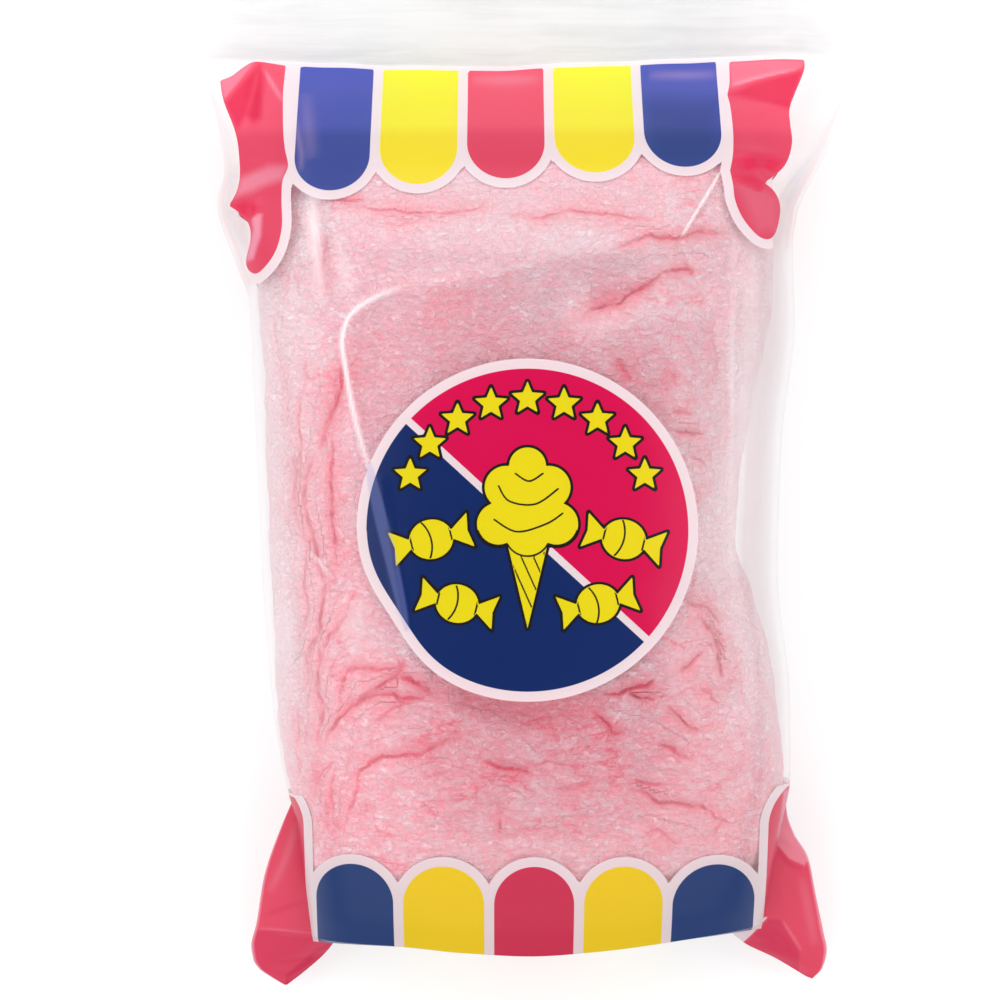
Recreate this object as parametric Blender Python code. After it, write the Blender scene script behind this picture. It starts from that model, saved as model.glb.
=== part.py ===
"""A shut clear bag of cotton candy, lying on its back.

One closed solid out to the film: the pillow body that the candy fills, the flat header above it and the
two bottom corners, which stick out as folded ears. Sizes are in millimetres and become metres when a
mesh is made. X runs to the bag's right, Y towards the header, Z up from the floor; the origin is on the
floor under the middle of the whole bag.
"""
import math

import bmesh
import bpy
from mathutils import Vector

MM = 0.001

# ---------------------------------------------------------------- driving dimensions
CROWN_HEIGHT = 79.0      # floor to the highest point of the body
FLAT_SPOT_SINK = 3.0     # how far the round underside would reach below the floor it is pressed flat on
FILM_SLAB = 1.6          # header: two films and the air between them
HEADER_START = 147.0     # y where body ends and header begins
HEADER_END = 174.5       # y of the header's top edge
EDGE_SHARE = 0.47        # height of the side edge between underside and crown
COLUMNS = 32             # faces across the bag, on each side
ROWS = 56                # faces along the bag, on each side
WALL_ROWS = 4            # faces down the bottom end wall
WALL_BULGE = 2.5         # how far the bottom end wall swells

# The bottom fold, (x, y): it bows away from the bag's middle, a little lower on the left.
FOLD_LINE = [(-80.0, -152.8), (-43.0, -153.8), (-21.5, -155.8), (2.0, -157.0), (25.5, -155.4),
             (59.0, -151.0), (80.0, -148.6)]
FOLD_LOWEST = -157.0

# ---------------------------------------------------------------- lines along the bag: (y, value)
# Side edges, from the bottom fold to the header's end. The top corners are crumpled, so the edge steps in.
LEFT_EDGE = [(-158.0, -72.5), (-118.0, -77.5), (-104.0, -81.0), (-72.0, -86.0), (-25.0, -89.5),
             (30.0, -92.0), (64.0, -94.0), (77.0, -98.5), (98.0, -105.0), (108.5, -102.8),
             (121.0, -104.5), (149.0, -111.5), (HEADER_END, -117.0)]
RIGHT_EDGE = [(-158.0, 82.0), (-118.0, 89.0), (-103.0, 91.3), (-72.0, 91.0), (-28.0, 86.8),
              (16.0, 88.2), (57.0, 92.7), (82.0, 92.2), (94.0, 94.0), (117.5, 105.2),
              (149.0, 114.8), (HEADER_END, 117.0)]

# Height of the front along the middle. The bag is a blunt wall at the bottom and a long slope at the top.
CROWN_LINE = [(-158.0, 54.0), (-147.0, 62.5), (-134.0, 69.0), (-114.0, 74.5), (-84.0, 77.8),
              (-30.0, CROWN_HEIGHT), (45.0, 78.0), (76.0, 75.5), (91.0, 71.0), (104.0, 63.5),
              (117.5, 52.0), (132.0, 37.0), (HEADER_START, 23.5), (161.0, 17.5), (HEADER_END, 14.0)]

# Height of the underside along the middle, before the floor flattens it.
UNDERSIDE_LINE = [(-158.0, 12.0), (-146.0, 7.0), (-132.0, 2.0), (-112.0, -FLAT_SPOT_SINK),
                  (70.0, -FLAT_SPOT_SINK), (92.0, 0.5), (108.0, 5.0), (120.0, 9.5), (132.0, 15.0),
                  (HEADER_START, 23.5 - FILM_SLAB), (161.0, 17.5 - FILM_SLAB),
                  (HEADER_END, 14.0 - FILM_SLAB)]

# Squareness of the cross-section: 2 is an ellipse, more is flatter on top and rounder at the shoulders.
SQUARENESS = [(-158.0, 5.0), (-125.0, 4.0), (-60.0, 3.6), (70.0, 3.6), (118.0, 2.8), (140.0, 4.0),
              (HEADER_START + 4.0, 9.0), (HEADER_END, 9.0)]

# Soft folds pressed into the front film: start (x, y), end (x, y), half width, height (dents below zero).
FOLDS = [
    # top left corner: ridges that fan out from the end of the awning, and the kink under it
    ((-92.0, 147.0), (-94.0, 124.0), 5.0, 2.6),
    ((-90.0, 146.0), (-80.0, 126.0), 4.5, -2.2),
    ((-99.0, 140.0), (-98.0, 120.0), 5.0, -2.0),
    ((-101.0, 97.0), (-87.0, 99.0), 4.5, -3.0),
    ((-90.0, 96.0), (-90.0, 78.0), 4.5, 2.4),
    # top right corner
    ((78.0, 141.0), (103.0, 147.0), 5.0, 2.4),
    ((80.0, 131.0), (100.0, 128.0), 5.0, -2.6),
    ((78.0, 112.0), (92.0, 104.0), 4.5, -3.0),
    ((84.0, 122.0), (97.0, 112.0), 5.0, 2.2),
    # the long diagonal pulls below the corners, and the fold that runs past the label
    ((76.0, 112.0), (62.0, 88.0), 5.5, 2.0),
    ((-74.0, 100.0), (-72.0, 82.0), 5.0, 1.8),
    ((-57.0, 66.0), (-57.0, 22.0), 6.5, 2.2),
    ((66.0, 58.0), (70.0, -20.0), 7.0, 1.8),
    ((-66.0, -22.0), (-58.0, -32.0), 5.0, -1.8),
    # hollows in the candy that the film follows
    ((24.0, 60.0), (62.0, 76.0), 9.0, -2.6),
    ((-48.0, 97.0), (40.0, 93.0), 9.0, -2.2),
    ((60.0, -38.0), (66.0, -70.0), 9.0, -2.4),
    ((-62.0, -12.0), (-60.0, -90.0), 9.0, -2.0),
]

# Ripples that run down the header: amplitude, wavelength, where the first crest lies.
HEADER_RIPPLES = [(1.5, 62.0, -38.0), (0.9, 37.0, 12.0), (0.5, 21.0, 5.0)]
RIPPLE_REACH = 22.0      # distance below the header over which the ripples fade

# Ears: outer edge (x, y, z) and, at the same station, the inner side (x, y, front z, back z), which lies
# inside the body until the ear passes the bottom fold.
LEFT_EAR = [((-78.4, -105.5, 34.0), (-72.0, -104.0, 32.0, 28.0)),
            ((-83.3, -116.6, 31.0), (-68.0, -116.0, 30.5, 20.0)),
            ((-89.4, -133.8, 26.0), (-66.0, -133.0, 30.0, 12.0)),
            ((-92.6, -150.8, 20.0), (-64.0, -148.0, 28.0, 8.0)),
            ((-94.9, -159.9, 14.5), (-64.5, -154.5, 22.0, 6.0)),
            ((-94.4, -165.2, 11.5), (-67.0, -159.6, 17.0, 6.0)),
            ((-92.6, -168.6, 9.5), (-70.0, -163.4, 13.5, 5.5)),
            ((-88.2, -172.0, 8.0), (-76.8, -169.7, 10.0, 5.0)),
            ((-83.6, -174.4, 7.0), (-81.2, -174.4, 7.4, 4.8))]
RIGHT_EAR = [((89.6, -101.6, 34.0), (82.0, -101.0, 33.0, 28.0)),
             ((90.4, -111.2, 33.0), (79.0, -112.0, 31.5, 22.0)),
             ((93.0, -118.6, 30.5), (77.0, -119.0, 30.5, 18.0)),
             ((98.2, -127.2, 27.0), (76.0, -127.0, 30.0, 12.0)),
             ((101.5, -141.0, 22.0), (75.0, -139.0, 29.0, 8.0)),
             ((104.6, -153.8, 16.5), (71.5, -150.5, 25.0, 6.0)),
             ((106.4, -161.9, 12.5), (76.5, -157.8, 18.0, 6.0)),
             ((105.2, -168.4, 9.5), (89.0, -164.8, 12.0, 5.0)),
             ((102.0, -172.6, 7.4), (99.8, -171.8, 7.6, 4.8))]
EAR_STEPS = 3            # rows of faces between two stations
EAR_COLUMNS = 5          # faces from the inner side to the outer edge
EAR_EDGE = 1.6           # thickness of the folded outer edge
EAR_SWELL = 2.2          # how far the front of an ear swells between its edges


def follow(line, at):
    """Read a value off the smooth curve through the (position, value) pairs of a line."""
    if at <= line[0][0]:
        return line[0][1]
    if at >= line[-1][0]:
        return line[-1][1]
    steps = [(b[1] - a[1]) / (b[0] - a[0]) for a, b in zip(line, line[1:])]

    def slope(i):
        if i == 0 or i == len(line) - 1:
            return steps[min(i, len(steps) - 1)]
        before, after = steps[i - 1], steps[i]
        return 0.0 if before * after <= 0.0 else 2.0 * before * after / (before + after)

    i = next(k for k in range(len(steps)) if at <= line[k + 1][0])
    span = line[i + 1][0] - line[i][0]
    t = (at - line[i][0]) / span
    return ((2 * t ** 3 - 3 * t ** 2 + 1) * line[i][1] + (t ** 3 - 2 * t ** 2 + t) * span * slope(i)
            + (3 * t ** 2 - 2 * t ** 3) * line[i + 1][1] + (t ** 3 - t ** 2) * span * slope(i + 1))


def smooth_step(low, high, value):
    """0 below low, 1 above high, and a smooth rise between."""
    t = min(1.0, max(0.0, (value - low) / (high - low)))
    return t * t * (3.0 - 2.0 * t)


def fold_relief(x, y):
    """Height that the soft folds add to the front film at a point."""
    height = 0.0
    here = Vector((x, y))
    for start, end, half_width, rise in FOLDS:
        a, along = Vector(start), Vector(end) - Vector(start)
        t = (here - a).dot(along) / along.length_squared
        nearest = a + along * min(1.0, max(0.0, t))
        height += rise * math.exp(-((here - nearest).length / half_width) ** 2)
    return height


def ripple(x, y):
    """Height of the header's ripples, the same on both films."""
    fade = smooth_step(HEADER_START - RIPPLE_REACH, HEADER_START + 6.0, y)
    return fade * sum(size * math.cos(2.0 * math.pi * (x - crest) / wavelength)
                      for size, wavelength, crest in HEADER_RIPPLES)


def bottom_fold(x):
    """y of the bottom fold at x."""
    return follow(FOLD_LINE, x)


def bag_point(across, along):
    """Front and underside points at across -1..1, left to right, and along 0..1, bottom to header."""
    y_line = FOLD_LOWEST + (HEADER_END - FOLD_LOWEST) * along
    left, right = follow(LEFT_EDGE, y_line), follow(RIGHT_EDGE, y_line)
    x = 0.5 * (left + right) + 0.5 * (right - left) * across
    y = y_line + (bottom_fold(x) - FOLD_LOWEST) * (1.0 - smooth_step(0.0, 0.35, along))

    crown, under = follow(CROWN_LINE, y_line), follow(UNDERSIDE_LINE, y_line)
    share = EDGE_SHARE + (0.5 - EDGE_SHARE) * smooth_step(120.0, HEADER_START, y_line)
    edge = under + share * (crown - under)
    dome = max(0.0, 1.0 - abs(across) ** follow(SQUARENESS, y_line)) ** 0.5
    in_header = smooth_step(HEADER_START - 12.0, HEADER_START, y_line)
    lift = ripple(x, y)
    front = edge + (crown - edge) * dome + fold_relief(x, y) * dome * (1.0 - in_header) + lift
    back = max(0.0, edge - (edge - under) * dome + lift)
    return Vector((x, y, front)), Vector((x, y, back))


def spread(step, steps):
    """Position -1..1 of a column: even in the middle, closer together at the side edges."""
    even = 2.0 * step / steps - 1.0
    return 0.35 * even + 0.65 * math.sin(0.5 * math.pi * even)


def mesh_object(name, bm, material):
    """Turn a bmesh in millimetres into an object in metres, faces outward and shaded smooth."""
    bmesh.ops.recalc_face_normals(bm, faces=bm.faces)
    bmesh.ops.scale(bm, vec=(MM, MM, MM), verts=bm.verts)
    mesh = bpy.data.meshes.new(name)
    bm.to_mesh(mesh)
    bm.free()
    mesh.shade_smooth()
    mesh.set_sharp_from_angle(angle=math.radians(40.0))
    mesh.materials.append(material)
    thing = bpy.data.objects.new(name, mesh)
    bpy.context.scene.collection.objects.link(thing)
    return thing


def film_material():
    """Clear glossy film over pink candy, as one opaque finish."""
    material = bpy.data.materials.new("film_over_candy")
    material.use_nodes = True
    shader = material.node_tree.nodes["Principled BSDF"]
    shader.inputs["Base Color"].default_value = (0.82, 0.36, 0.42, 1.0)
    shader.inputs["Roughness"].default_value = 0.25
    shader.inputs["Metallic"].default_value = 0.0
    return material


def pillow(material):
    """Body and header: front and underside grids that share their side edges, closed at both ends."""
    bm = bmesh.new()
    front, back = [], []
    for row in range(ROWS + 1):
        points = [bag_point(spread(column, COLUMNS), row / ROWS) for column in range(COLUMNS + 1)]
        top = [bm.verts.new(over) for over, _ in points]
        middle = [bm.verts.new(below) for _, below in points[1:-1]]
        front.append(top)
        back.append([top[0]] + middle + [top[-1]])
    for row in range(ROWS):
        for column in range(COLUMNS):
            bm.faces.new((front[row][column], front[row][column + 1],
                          front[row + 1][column + 1], front[row + 1][column]))
            bm.faces.new((back[row][column], back[row + 1][column],
                          back[row + 1][column + 1], back[row][column + 1]))

    # bottom end wall, swelling a little between the front's fold and the underside
    wall = [front[0]]
    for step in range(1, WALL_ROWS):
        share = step / WALL_ROWS
        bulge = WALL_BULGE * math.sin(math.pi * share)
        line = [front[0][0]]
        for over, below in zip(front[0][1:-1], back[0][1:-1]):
            place = over.co.lerp(below.co, share)
            line.append(bm.verts.new((place.x, place.y - bulge, place.z)))
        wall.append(line + [front[0][-1]])
    wall.append(back[0])
    strips = [(upper, lower) for upper, lower in zip(wall, wall[1:])] + [(back[-1], front[-1])]
    for upper, lower in strips:
        for column in range(COLUMNS):
            corners = (upper[column], lower[column], lower[column + 1], upper[column + 1])
            bm.faces.new([v for k, v in enumerate(corners) if v not in corners[:k]])
    return mesh_object("sealed_bag", bm, material)


def ear(name, stations, material):
    """One bottom corner: a flat wedge lofted through its stations, to be joined to the pillow."""
    def value(pick, at):
        return follow([(float(k), pick(station)) for k, station in enumerate(stations)], at)

    bm = bmesh.new()
    rings = []
    count = (len(stations) - 1) * EAR_STEPS
    for row in range(count + 1):
        at = row / EAR_STEPS
        outer = Vector([value(lambda s, k=k: s[0][k], at) for k in range(3)])
        inner_x, inner_y, inner_front, inner_back = [value(lambda s, k=k: s[1][k], at) for k in range(4)]
        tip_fade = 1.0 - smooth_step(0.72, 1.0, row / count)
        edge = EAR_EDGE * (0.35 + 0.65 * tip_fade)
        front_side, back_side = [], []
        for column in range(EAR_COLUMNS + 1):
            out = column / EAR_COLUMNS
            x, y = inner_x + (outer.x - inner_x) * out, inner_y + (outer.y - inner_y) * out
            swell = EAR_SWELL * math.sin(math.pi * out) * tip_fade
            front_side.append((x, y, inner_front + (outer.z + 0.5 * edge - inner_front) * out + swell))
            back_side.append((x, y, inner_back + (outer.z - 0.5 * edge - inner_back) * out))
        rings.append([bm.verts.new(p) for p in front_side + back_side[::-1]])
    for lower, upper in zip(rings, rings[1:]):
        for k in range(len(lower)):
            after = (k + 1) % len(lower)
            bm.faces.new((lower[k], lower[after], upper[after], upper[k]))
    bm.faces.new(rings[0][::-1])
    bm.faces.new(rings[-1])
    return mesh_object(name, bm, material)


def join_to(body, cutter):
    """Unite a cutter with the body and keep the cutter out of the model."""
    union = body.modifiers.new("join_" + cutter.name, "BOOLEAN")
    union.operation = "UNION"
    union.solver = "EXACT"
    union.object = cutter
    cutter.hide_render = True
    cutter.display_type = "WIRE"


def main():
    for thing in list(bpy.data.objects):
        bpy.data.objects.remove(thing, do_unlink=True)
    film = film_material()
    bag = pillow(film)
    join_to(bag, ear("left_ear", LEFT_EAR, film))
    join_to(bag, ear("right_ear", RIGHT_EAR, film))


main()
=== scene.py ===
"""Looks of a shut, clear bag of cotton candy that lies on its back.

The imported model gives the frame: the bag's box and its one body. Around it this script makes the printed
film, the two folded ears, the round label and the pressed candy inside. Sizes are in millimetres in the
bag's own frame (X right, Y towards the header, Z up from the floor) and become metres in each mesh.
"""
import math

import bmesh
import bpy
import numpy as np
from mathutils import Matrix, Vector, noise


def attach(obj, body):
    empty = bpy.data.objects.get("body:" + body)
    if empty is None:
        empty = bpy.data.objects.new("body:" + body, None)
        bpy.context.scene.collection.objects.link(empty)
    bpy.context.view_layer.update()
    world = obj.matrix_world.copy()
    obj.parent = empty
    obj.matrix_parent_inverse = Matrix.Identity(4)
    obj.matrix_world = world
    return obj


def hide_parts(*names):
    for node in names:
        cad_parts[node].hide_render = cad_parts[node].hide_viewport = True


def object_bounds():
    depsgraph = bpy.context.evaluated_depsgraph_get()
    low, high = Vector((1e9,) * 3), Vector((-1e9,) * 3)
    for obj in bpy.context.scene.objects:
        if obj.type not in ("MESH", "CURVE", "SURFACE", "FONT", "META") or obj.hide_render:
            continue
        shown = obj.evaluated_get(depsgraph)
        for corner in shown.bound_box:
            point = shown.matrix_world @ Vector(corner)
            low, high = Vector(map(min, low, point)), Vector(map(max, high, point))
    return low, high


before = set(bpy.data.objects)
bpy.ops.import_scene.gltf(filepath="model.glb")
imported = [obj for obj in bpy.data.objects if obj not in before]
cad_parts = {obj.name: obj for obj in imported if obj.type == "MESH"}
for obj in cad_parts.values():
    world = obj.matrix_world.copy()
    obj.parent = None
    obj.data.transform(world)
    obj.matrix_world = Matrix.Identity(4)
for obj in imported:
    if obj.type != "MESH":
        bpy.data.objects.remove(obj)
CAD_LOW, CAD_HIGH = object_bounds()

MM = 0.001

# ---- the bag's form, as in the part
BOX = [[1000.0 * corner[k] for k in range(3)] for corner in (CAD_LOW, CAD_HIGH)]
HEADER_END = BOX[1][1] - 0.1
CROWN_HEIGHT = BOX[1][2]
FLAT_SPOT_SINK = 3.0
FILM_SLAB = 1.6
HEADER_START = 147.0
HEADER_BLEND = 12.0      # length over which the film's relief dies away before the header
EDGE_SHARE = 0.47        # height of the side edges, from the underside at 0 to the crown at 1
EDGE_RISE_START = 120.0  # from here the side edges rise to half height, where the header starts
WALL_BULGE = 2.5

FOLD_LINE = [
    (-80, -152.8), (-43, -153.8), (-21.5, -155.8), (2, -157), (25.5, -155.4), (59, -151), (80, -148.6),
]
FOLD_LOWEST = -157.0
BOW_REACH = 0.35         # share of the bag's length over which the rows take on the bottom fold's bow

LEFT_EDGE = [
    (-158, -72.5), (-118, -77.5), (-104, -81), (-72, -86), (-25, -89.5), (30, -92), (64, -94),
    (77, -98.5), (98, -105), (108.5, -102.8), (121, -104.5), (149, -111.5), (HEADER_END, -117),
]
RIGHT_EDGE = [
    (-158, 82), (-118, 89), (-103, 91.3), (-72, 91), (-28, 86.8), (16, 88.2), (57, 92.7), (82, 92.2),
    (94, 94), (117.5, 105.2), (149, 114.8), (HEADER_END, 117),
]
CROWN_LINE = [
    (-158, 54), (-147, 62.5), (-134, 69), (-114, 74.5), (-84, 77.8), (-30, CROWN_HEIGHT), (45, 78),
    (76, 75.5), (91, 71), (104, 63.5), (117.5, 52), (132, 37), (HEADER_START, 23.5), (161, 17.5),
    (HEADER_END, 14),
]
UNDERSIDE_LINE = [
    (-158, 12), (-146, 7), (-132, 2), (-112, -FLAT_SPOT_SINK), (70, -FLAT_SPOT_SINK), (92, 0.5), (108, 5),
    (120, 9.5), (132, 15), (HEADER_START, 23.5 - FILM_SLAB), (161, 17.5 - FILM_SLAB),
    (HEADER_END, 14.0 - FILM_SLAB),
]
SQUARENESS = [
    (-158, 5), (-125, 4), (-60, 3.6), (70, 3.6), (118, 2.8), (140, 4), (HEADER_START + 4, 9),
    (HEADER_END, 9),
]

# Soft folds: start (x, y), end (x, y), half width, height.
FOLDS = [
    ((76, 112), (62, 88), 5.5, 2), ((-74, 100), (-72, 82), 5, 1.8), ((-57, 66), (-57, 22), 6.5, 2.2),
    ((66, 58), (70, -20), 7, 1.8), ((-66, -22), (-58, -32), 5, -1.8), ((24, 60), (62, 76), 9, -2.6),
    ((-48, 97), (40, 93), 9, -2.2), ((60, -38), (66, -70), 9, -2.4), ((-62, -12), (-60, -90), 9, -2),
]
# Ripples of the flat header: height, wavelength, x of one peak.
HEADER_RIPPLES = [(1.5, 62, -38), (0.9, 37, 12), (0.5, 21, 5)]
RIPPLE_REACH = 22.0

# Each ear: pairs of its outer edge and its inner edge, from the top down.
LEFT_EAR = [
    ((-78.4, -105.5, 34), (-75, -104, 32)), ((-83.3, -116.6, 31), (-70, -116, 30)),
    ((-89.4, -133.8, 26), (-68, -133, 30)), ((-92.6, -150.8, 20), (-67, -148, 27)),
    ((-94.9, -159.9, 14.5), (-64.5, -154.5, 22)), ((-94.4, -165.2, 11.5), (-67, -159.6, 17)),
    ((-92.6, -168.6, 9.5), (-70, -163.4, 13)), ((-88.2, -172, 8), (-76.8, -169.7, 9.5)),
    ((-83.9, -174.8, 6.5), (-83, -174.8, 6.5)),
]
RIGHT_EAR = [
    ((89.6, -101.6, 34), (85, -101, 33)), ((90.4, -111.2, 33), (79, -112, 31)),
    ((93, -118.6, 30.5), (77, -119, 30)), ((98.2, -127.2, 27), (77, -127, 30)),
    ((101.5, -141, 22), (77, -139, 28)), ((104.6, -153.8, 16.5), (71.5, -151.5, 24)),
    ((106.4, -161.9, 12.5), (76.5, -157.8, 18)), ((105.2, -168.4, 9.5), (89, -164.8, 12)),
    ((102, -172.6, 7), (99.8, -171.8, 7)),
]
EAR_SWELL = 1.8          # height that the front adds in the middle
EAR_DEPTH = 4.5          # depth of the pocket there
EAR_RIM = 0.4            # depth at its edges
EAR_WAVE = 0.25
EAR_WAVE_LENGTH = 13.0
# Bends across an ear: start, end, half width, height.
LEFT_EAR_BENDS = [
    ((-96, -152.5), (-70, -153.5), 2.6, 1.1), ((-84, -146), (-74, -139), 3, -0.8),
    ((-83, -174), (-68, -160), 3, 1.6),
]
RIGHT_EAR_BENDS = [
    ((86, -116), (100, -129), 2.6, 1.3), ((84, -148), (97, -163), 3, 1.6),
    ((92, -134), (96, -150), 4, -0.9),
]
# Painted shade and highlight where bends make an ear paler and deeper, as for the front film below.
LEFT_EAR_PARTS = [
    (-0.45, 1.2, [(-98, -153.8), (-84, -153.4), (-64, -154.6), (-62, -160), (-83, -178), (-98, -168)]),
    (-0.8, 0.5, [(-66, -157), (-70.2, -159.6), (-83.2, -170.6), (-83.4, -177), (-78, -174), (-63, -160)]),
]
LEFT_EAR_LINES = [
    (0.22, 0.6, [(-95, -153.4), (-84.3, -153.1), (-70, -154.4)]),
    (-0.4, 1, [(-90.2, -148.1), (-82.3, -145), (-74, -142)]),
    (0.18, 1.6, [(-88, -140), (-82, -128), (-77.5, -114)]),
]
RIGHT_EAR_PARTS = [
    (0.55, 0.4, [(88, -103.2), (90.5, -101), (92.5, -110), (95.5, -117), (99.5, -127), (97, -130.2),
     (91.4, -127.5), (87, -122.4), (85.6, -117.9), (87, -111)]),
    (-0.65, 0.5, [(75, -161), (85.1, -149), (89.3, -149.4), (92.8, -155.2), (96.4, -161.5), (97, -172),
     (80, -168)]),
]
RIGHT_EAR_LINES = [
    (-0.6, 0.9, [(86.6, -123.2), (91.2, -129), (96.5, -131.6)]),
    (0.25, 0.7, [(89.5, -149.6), (93.2, -155.2), (97.2, -161.5)]),
    (0.16, 1.8, [(96, -134), (99, -146), (102, -160)]),
]
# A piece of white strip that shows on the right ear below the bottom fold.
RIGHT_EAR_STRIP = [(71, -151), (80.6, -149), (84.8, -148), (76.6, -158.2), (73, -156)]

# ---- finer film relief
# Sharp pulls in the film: the points of each, half width, height.
PULLS = [
    ([(-42.8, 64.8), (-51.6, 60.9), (-57.5, 56), (-59.8, 48.5), (-58.8, 40), (-56.2, 26), (-52.6, 11.8)],
     1, 0.75),
    ([(64.5, 104), (63, 101.2), (53.7, 85.9)], 0.7, 0.55),
    ([(53.7, 85.9), (52.1, 81.6), (56.4, 70.7)], 1.2, 0.3),
    ([(-69.3, 93), (-68.8, 84), (-67.7, 68)], 1.3, 0.55),
    ([(-47, 2), (-43, -25), (-38, -51)], 1.8, 0.8),
    ([(69.5, 78), (69, 42), (69, 2)], 2.6, 0.35),
    ([(-71, -21), (-63, -30)], 1.2, 0.5),
]
# Straight-sided bends of the crumpled corners: start, end, half width, height.
TENTS = [
    ((-91, 148), (-101, 133), 5, 1.8), ((-91, 148), (-93.5, 124), 3.6, -1.8),
    ((-90.5, 148), (-88.5, 126), 3.4, 1.4), ((-89.5, 148), (-79, 128), 3, 1.2),
    ((-99, 107.5), (-84, 106), 5.5, -2.2), ((-101.5, 97.5), (-90.5, 97), 3.4, 2.2),
    ((-90, 97.5), (-90.5, 82), 3, 1.9), ((-94, 92), (-93, 82), 2.6, -1.4), ((70, 138), (98, 146), 3.6, 2),
    ((70, 133), (94, 133.5), 4.6, -1.8), ((71, 113), (90, 112), 3, 1.5),
    ((72, 108.5), (86, 107.5), 3.4, -2.2), ((76, 110), (84, 103), 2.6, 1.7),
    ((73, 101), (84, 102.5), 3, 1.5),
]
# Facets: beyond each line the film slopes away. The points of each with the slope there, reach, and
# the side that slopes away as one goes along the line: 1 for its left, -1 for its right.
FACETS = [
    ([(-50, 0, 0), (-52.6, 11.8, 0.1), (-56.2, 26, 0.14), (-58.8, 40, 0.17), (-59.8, 48.5, 0.2),
     (-57.5, 56, 0.24), (-51.6, 60.9, 0.25), (-42.8, 64.8, 0.24), (-24, 67.5, 0.2), (0, 72, 0.1),
     (24, 80, 0)], 32, 1),
    ([(69.5, -4, 0), (69.5, 20, 0.12), (69, 45, 0.14), (68, 66, 0.12), (67, 84, 0)], 22, -1),
]
# Painted highlights along lines where the film is sharply bent: the points of each, half width, strength.
BEND_HIGHLIGHTS = [
    ([(-40, 65.5), (-46, 63.6), (-51.6, 60.9), (-57.5, 56), (-59.8, 48.5), (-58.8, 40), (-56.2, 26),
     (-52.6, 11.8), (-50, 4)], 0.85, 0.75),
    ([(65.4, 106), (63, 101.2), (53.7, 85.9), (52.4, 83.5)], 0.45, 0.75),
    ([(52.4, 83.5), (52.1, 80.6), (56.4, 70.7)], 0.6, 0.16),
    ([(-70.5, 101), (-69.5, 88), (-68, 74), (-67, 60)], 2.4, 0.42),
    ([(-62, 84), (-60, 74), (-57.5, 64)], 2.2, 0.25),
    ([(70, 86), (69.4, 62), (68.6, 40), (69, 20), (69, 0), (68, -28)], 1.6, 0.24),
    ([(76, 92), (74.5, 62), (73, 40), (71.5, 20), (71, 0), (72, -30)], 5, 0.24),
    ([(-71, -21), (-66.5, -26), (-63, -30)], 0.6, 0.45),
    ([(-55, -36), (-57, -46), (-55, -57)], 5, 0.26),
    ([(-77, -36), (-79, -46), (-78, -58)], 5, 0.22),
]
FILM_EVENNESS = 0.6      # spread of the film's columns: 1 for even
WAVE = 0.35              # height of the film's slow unevenness
WAVE_LENGTH = 26.0
FINE_WAVE = 0.10
FINE_WAVE_LENGTH = 9.0

# ---- print
TOP_GAPS = [-78.8, -50, -20.7, 8.6, 38.9, 68.5]       # middles of the white strips
BOTTOM_GAPS = [-71.6, -41.8, -11.6, 18.2, 47.6, 79.4]
STRIPE_INKS = ["blue", "yellow", "red", "yellow", "blue"]
GAP = 3.3                # width of a white strip and of the white rims
# The upper awning's far edge, as (x, y) pairs.
TOP_PRINT_LINE = [
    (-80, 146.3), (-64, 145.6), (-48, 144.7), (-22, 144.3), (7, 145.2), (38, 146.4), (68, 147.9),
    (97, 148.4),
]
TOP_RIM = 1.7            # width of the white line beyond it, where the hazy header starts
TOP_TIPS = [98.8, 100.9, 102.8, 104.9, 107.2]           # lowest point of each colour
BOTTOM_TIP = -124.8      # highest point of the lower colours
TOP_RIM_LEFT_END = -92.5  # the white rims of the red corners end here
TOP_RIM_RIGHT_END = 83.5
# The strips of the lower corners: middle out from the last gap, half width, highest point, and where
# each ear starts to cover them.
CORNER_OUT = 17.0
CORNER_HALF = 14.4
CORNER_TIP = -99.0
CORNER_RED_SHORT = 1.2   # the red ends this far below its white rim
LEFT_EAR_START = -103.2
RIGHT_EAR_START = -99.8

# Red corners of the upper awning, with the kinks that the crumpled film gives them: x, y, and a 1
# where the outline has a sharp corner.
TOP_LEFT_RED = [
    (-82.2, 146.4, 1), (-82.5, 136.6), (-81.7, 122.2), (-80.6, 114.3), (-79.2, 108.2),
    (-80.8, 103), (-80.8, 95.9), (-80.4, 87.2), (-82, 80), (-85, 75.2), (-89.3, 71.9),
    (-92.5, 73.2), (-93.5, 76.4), (-91.7, 82.3), (-91.7, 87.2), (-94.4, 91.4),
    (-99.6, 95.4, 1), (-97.3, 98.9), (-96.2, 104.6), (-97.1, 115.4), (-99, 123.1),
    (-103.1, 133.2), (-104.6, 140.7, 1), (-100.4, 142.2), (-96.2, 145.7), (-92, 147.7),
]
TOP_RIGHT_RED = [
    (71.4, 147.8, 1), (97.4, 148.6, 1), (97.2, 144.7), (93.8, 136.7), (91.1, 129.8),
    (91, 123.8), (91.2, 117.1), (88.6, 109.5), (83.9, 104.8), (80.6, 102.4, 1),
    (84.3, 99.7), (86.3, 95.2), (85.8, 89.7), (84, 84.8), (81.4, 83.1), (77.7, 84.3),
    (73, 89.5), (70.3, 95.6), (69.7, 101.1), (68.9, 106, 1), (70.2, 111.9), (70.9, 120.6),
    (70.6, 131.3), (69.9, 134.8, 1), (71.1, 140.2),
]
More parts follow.
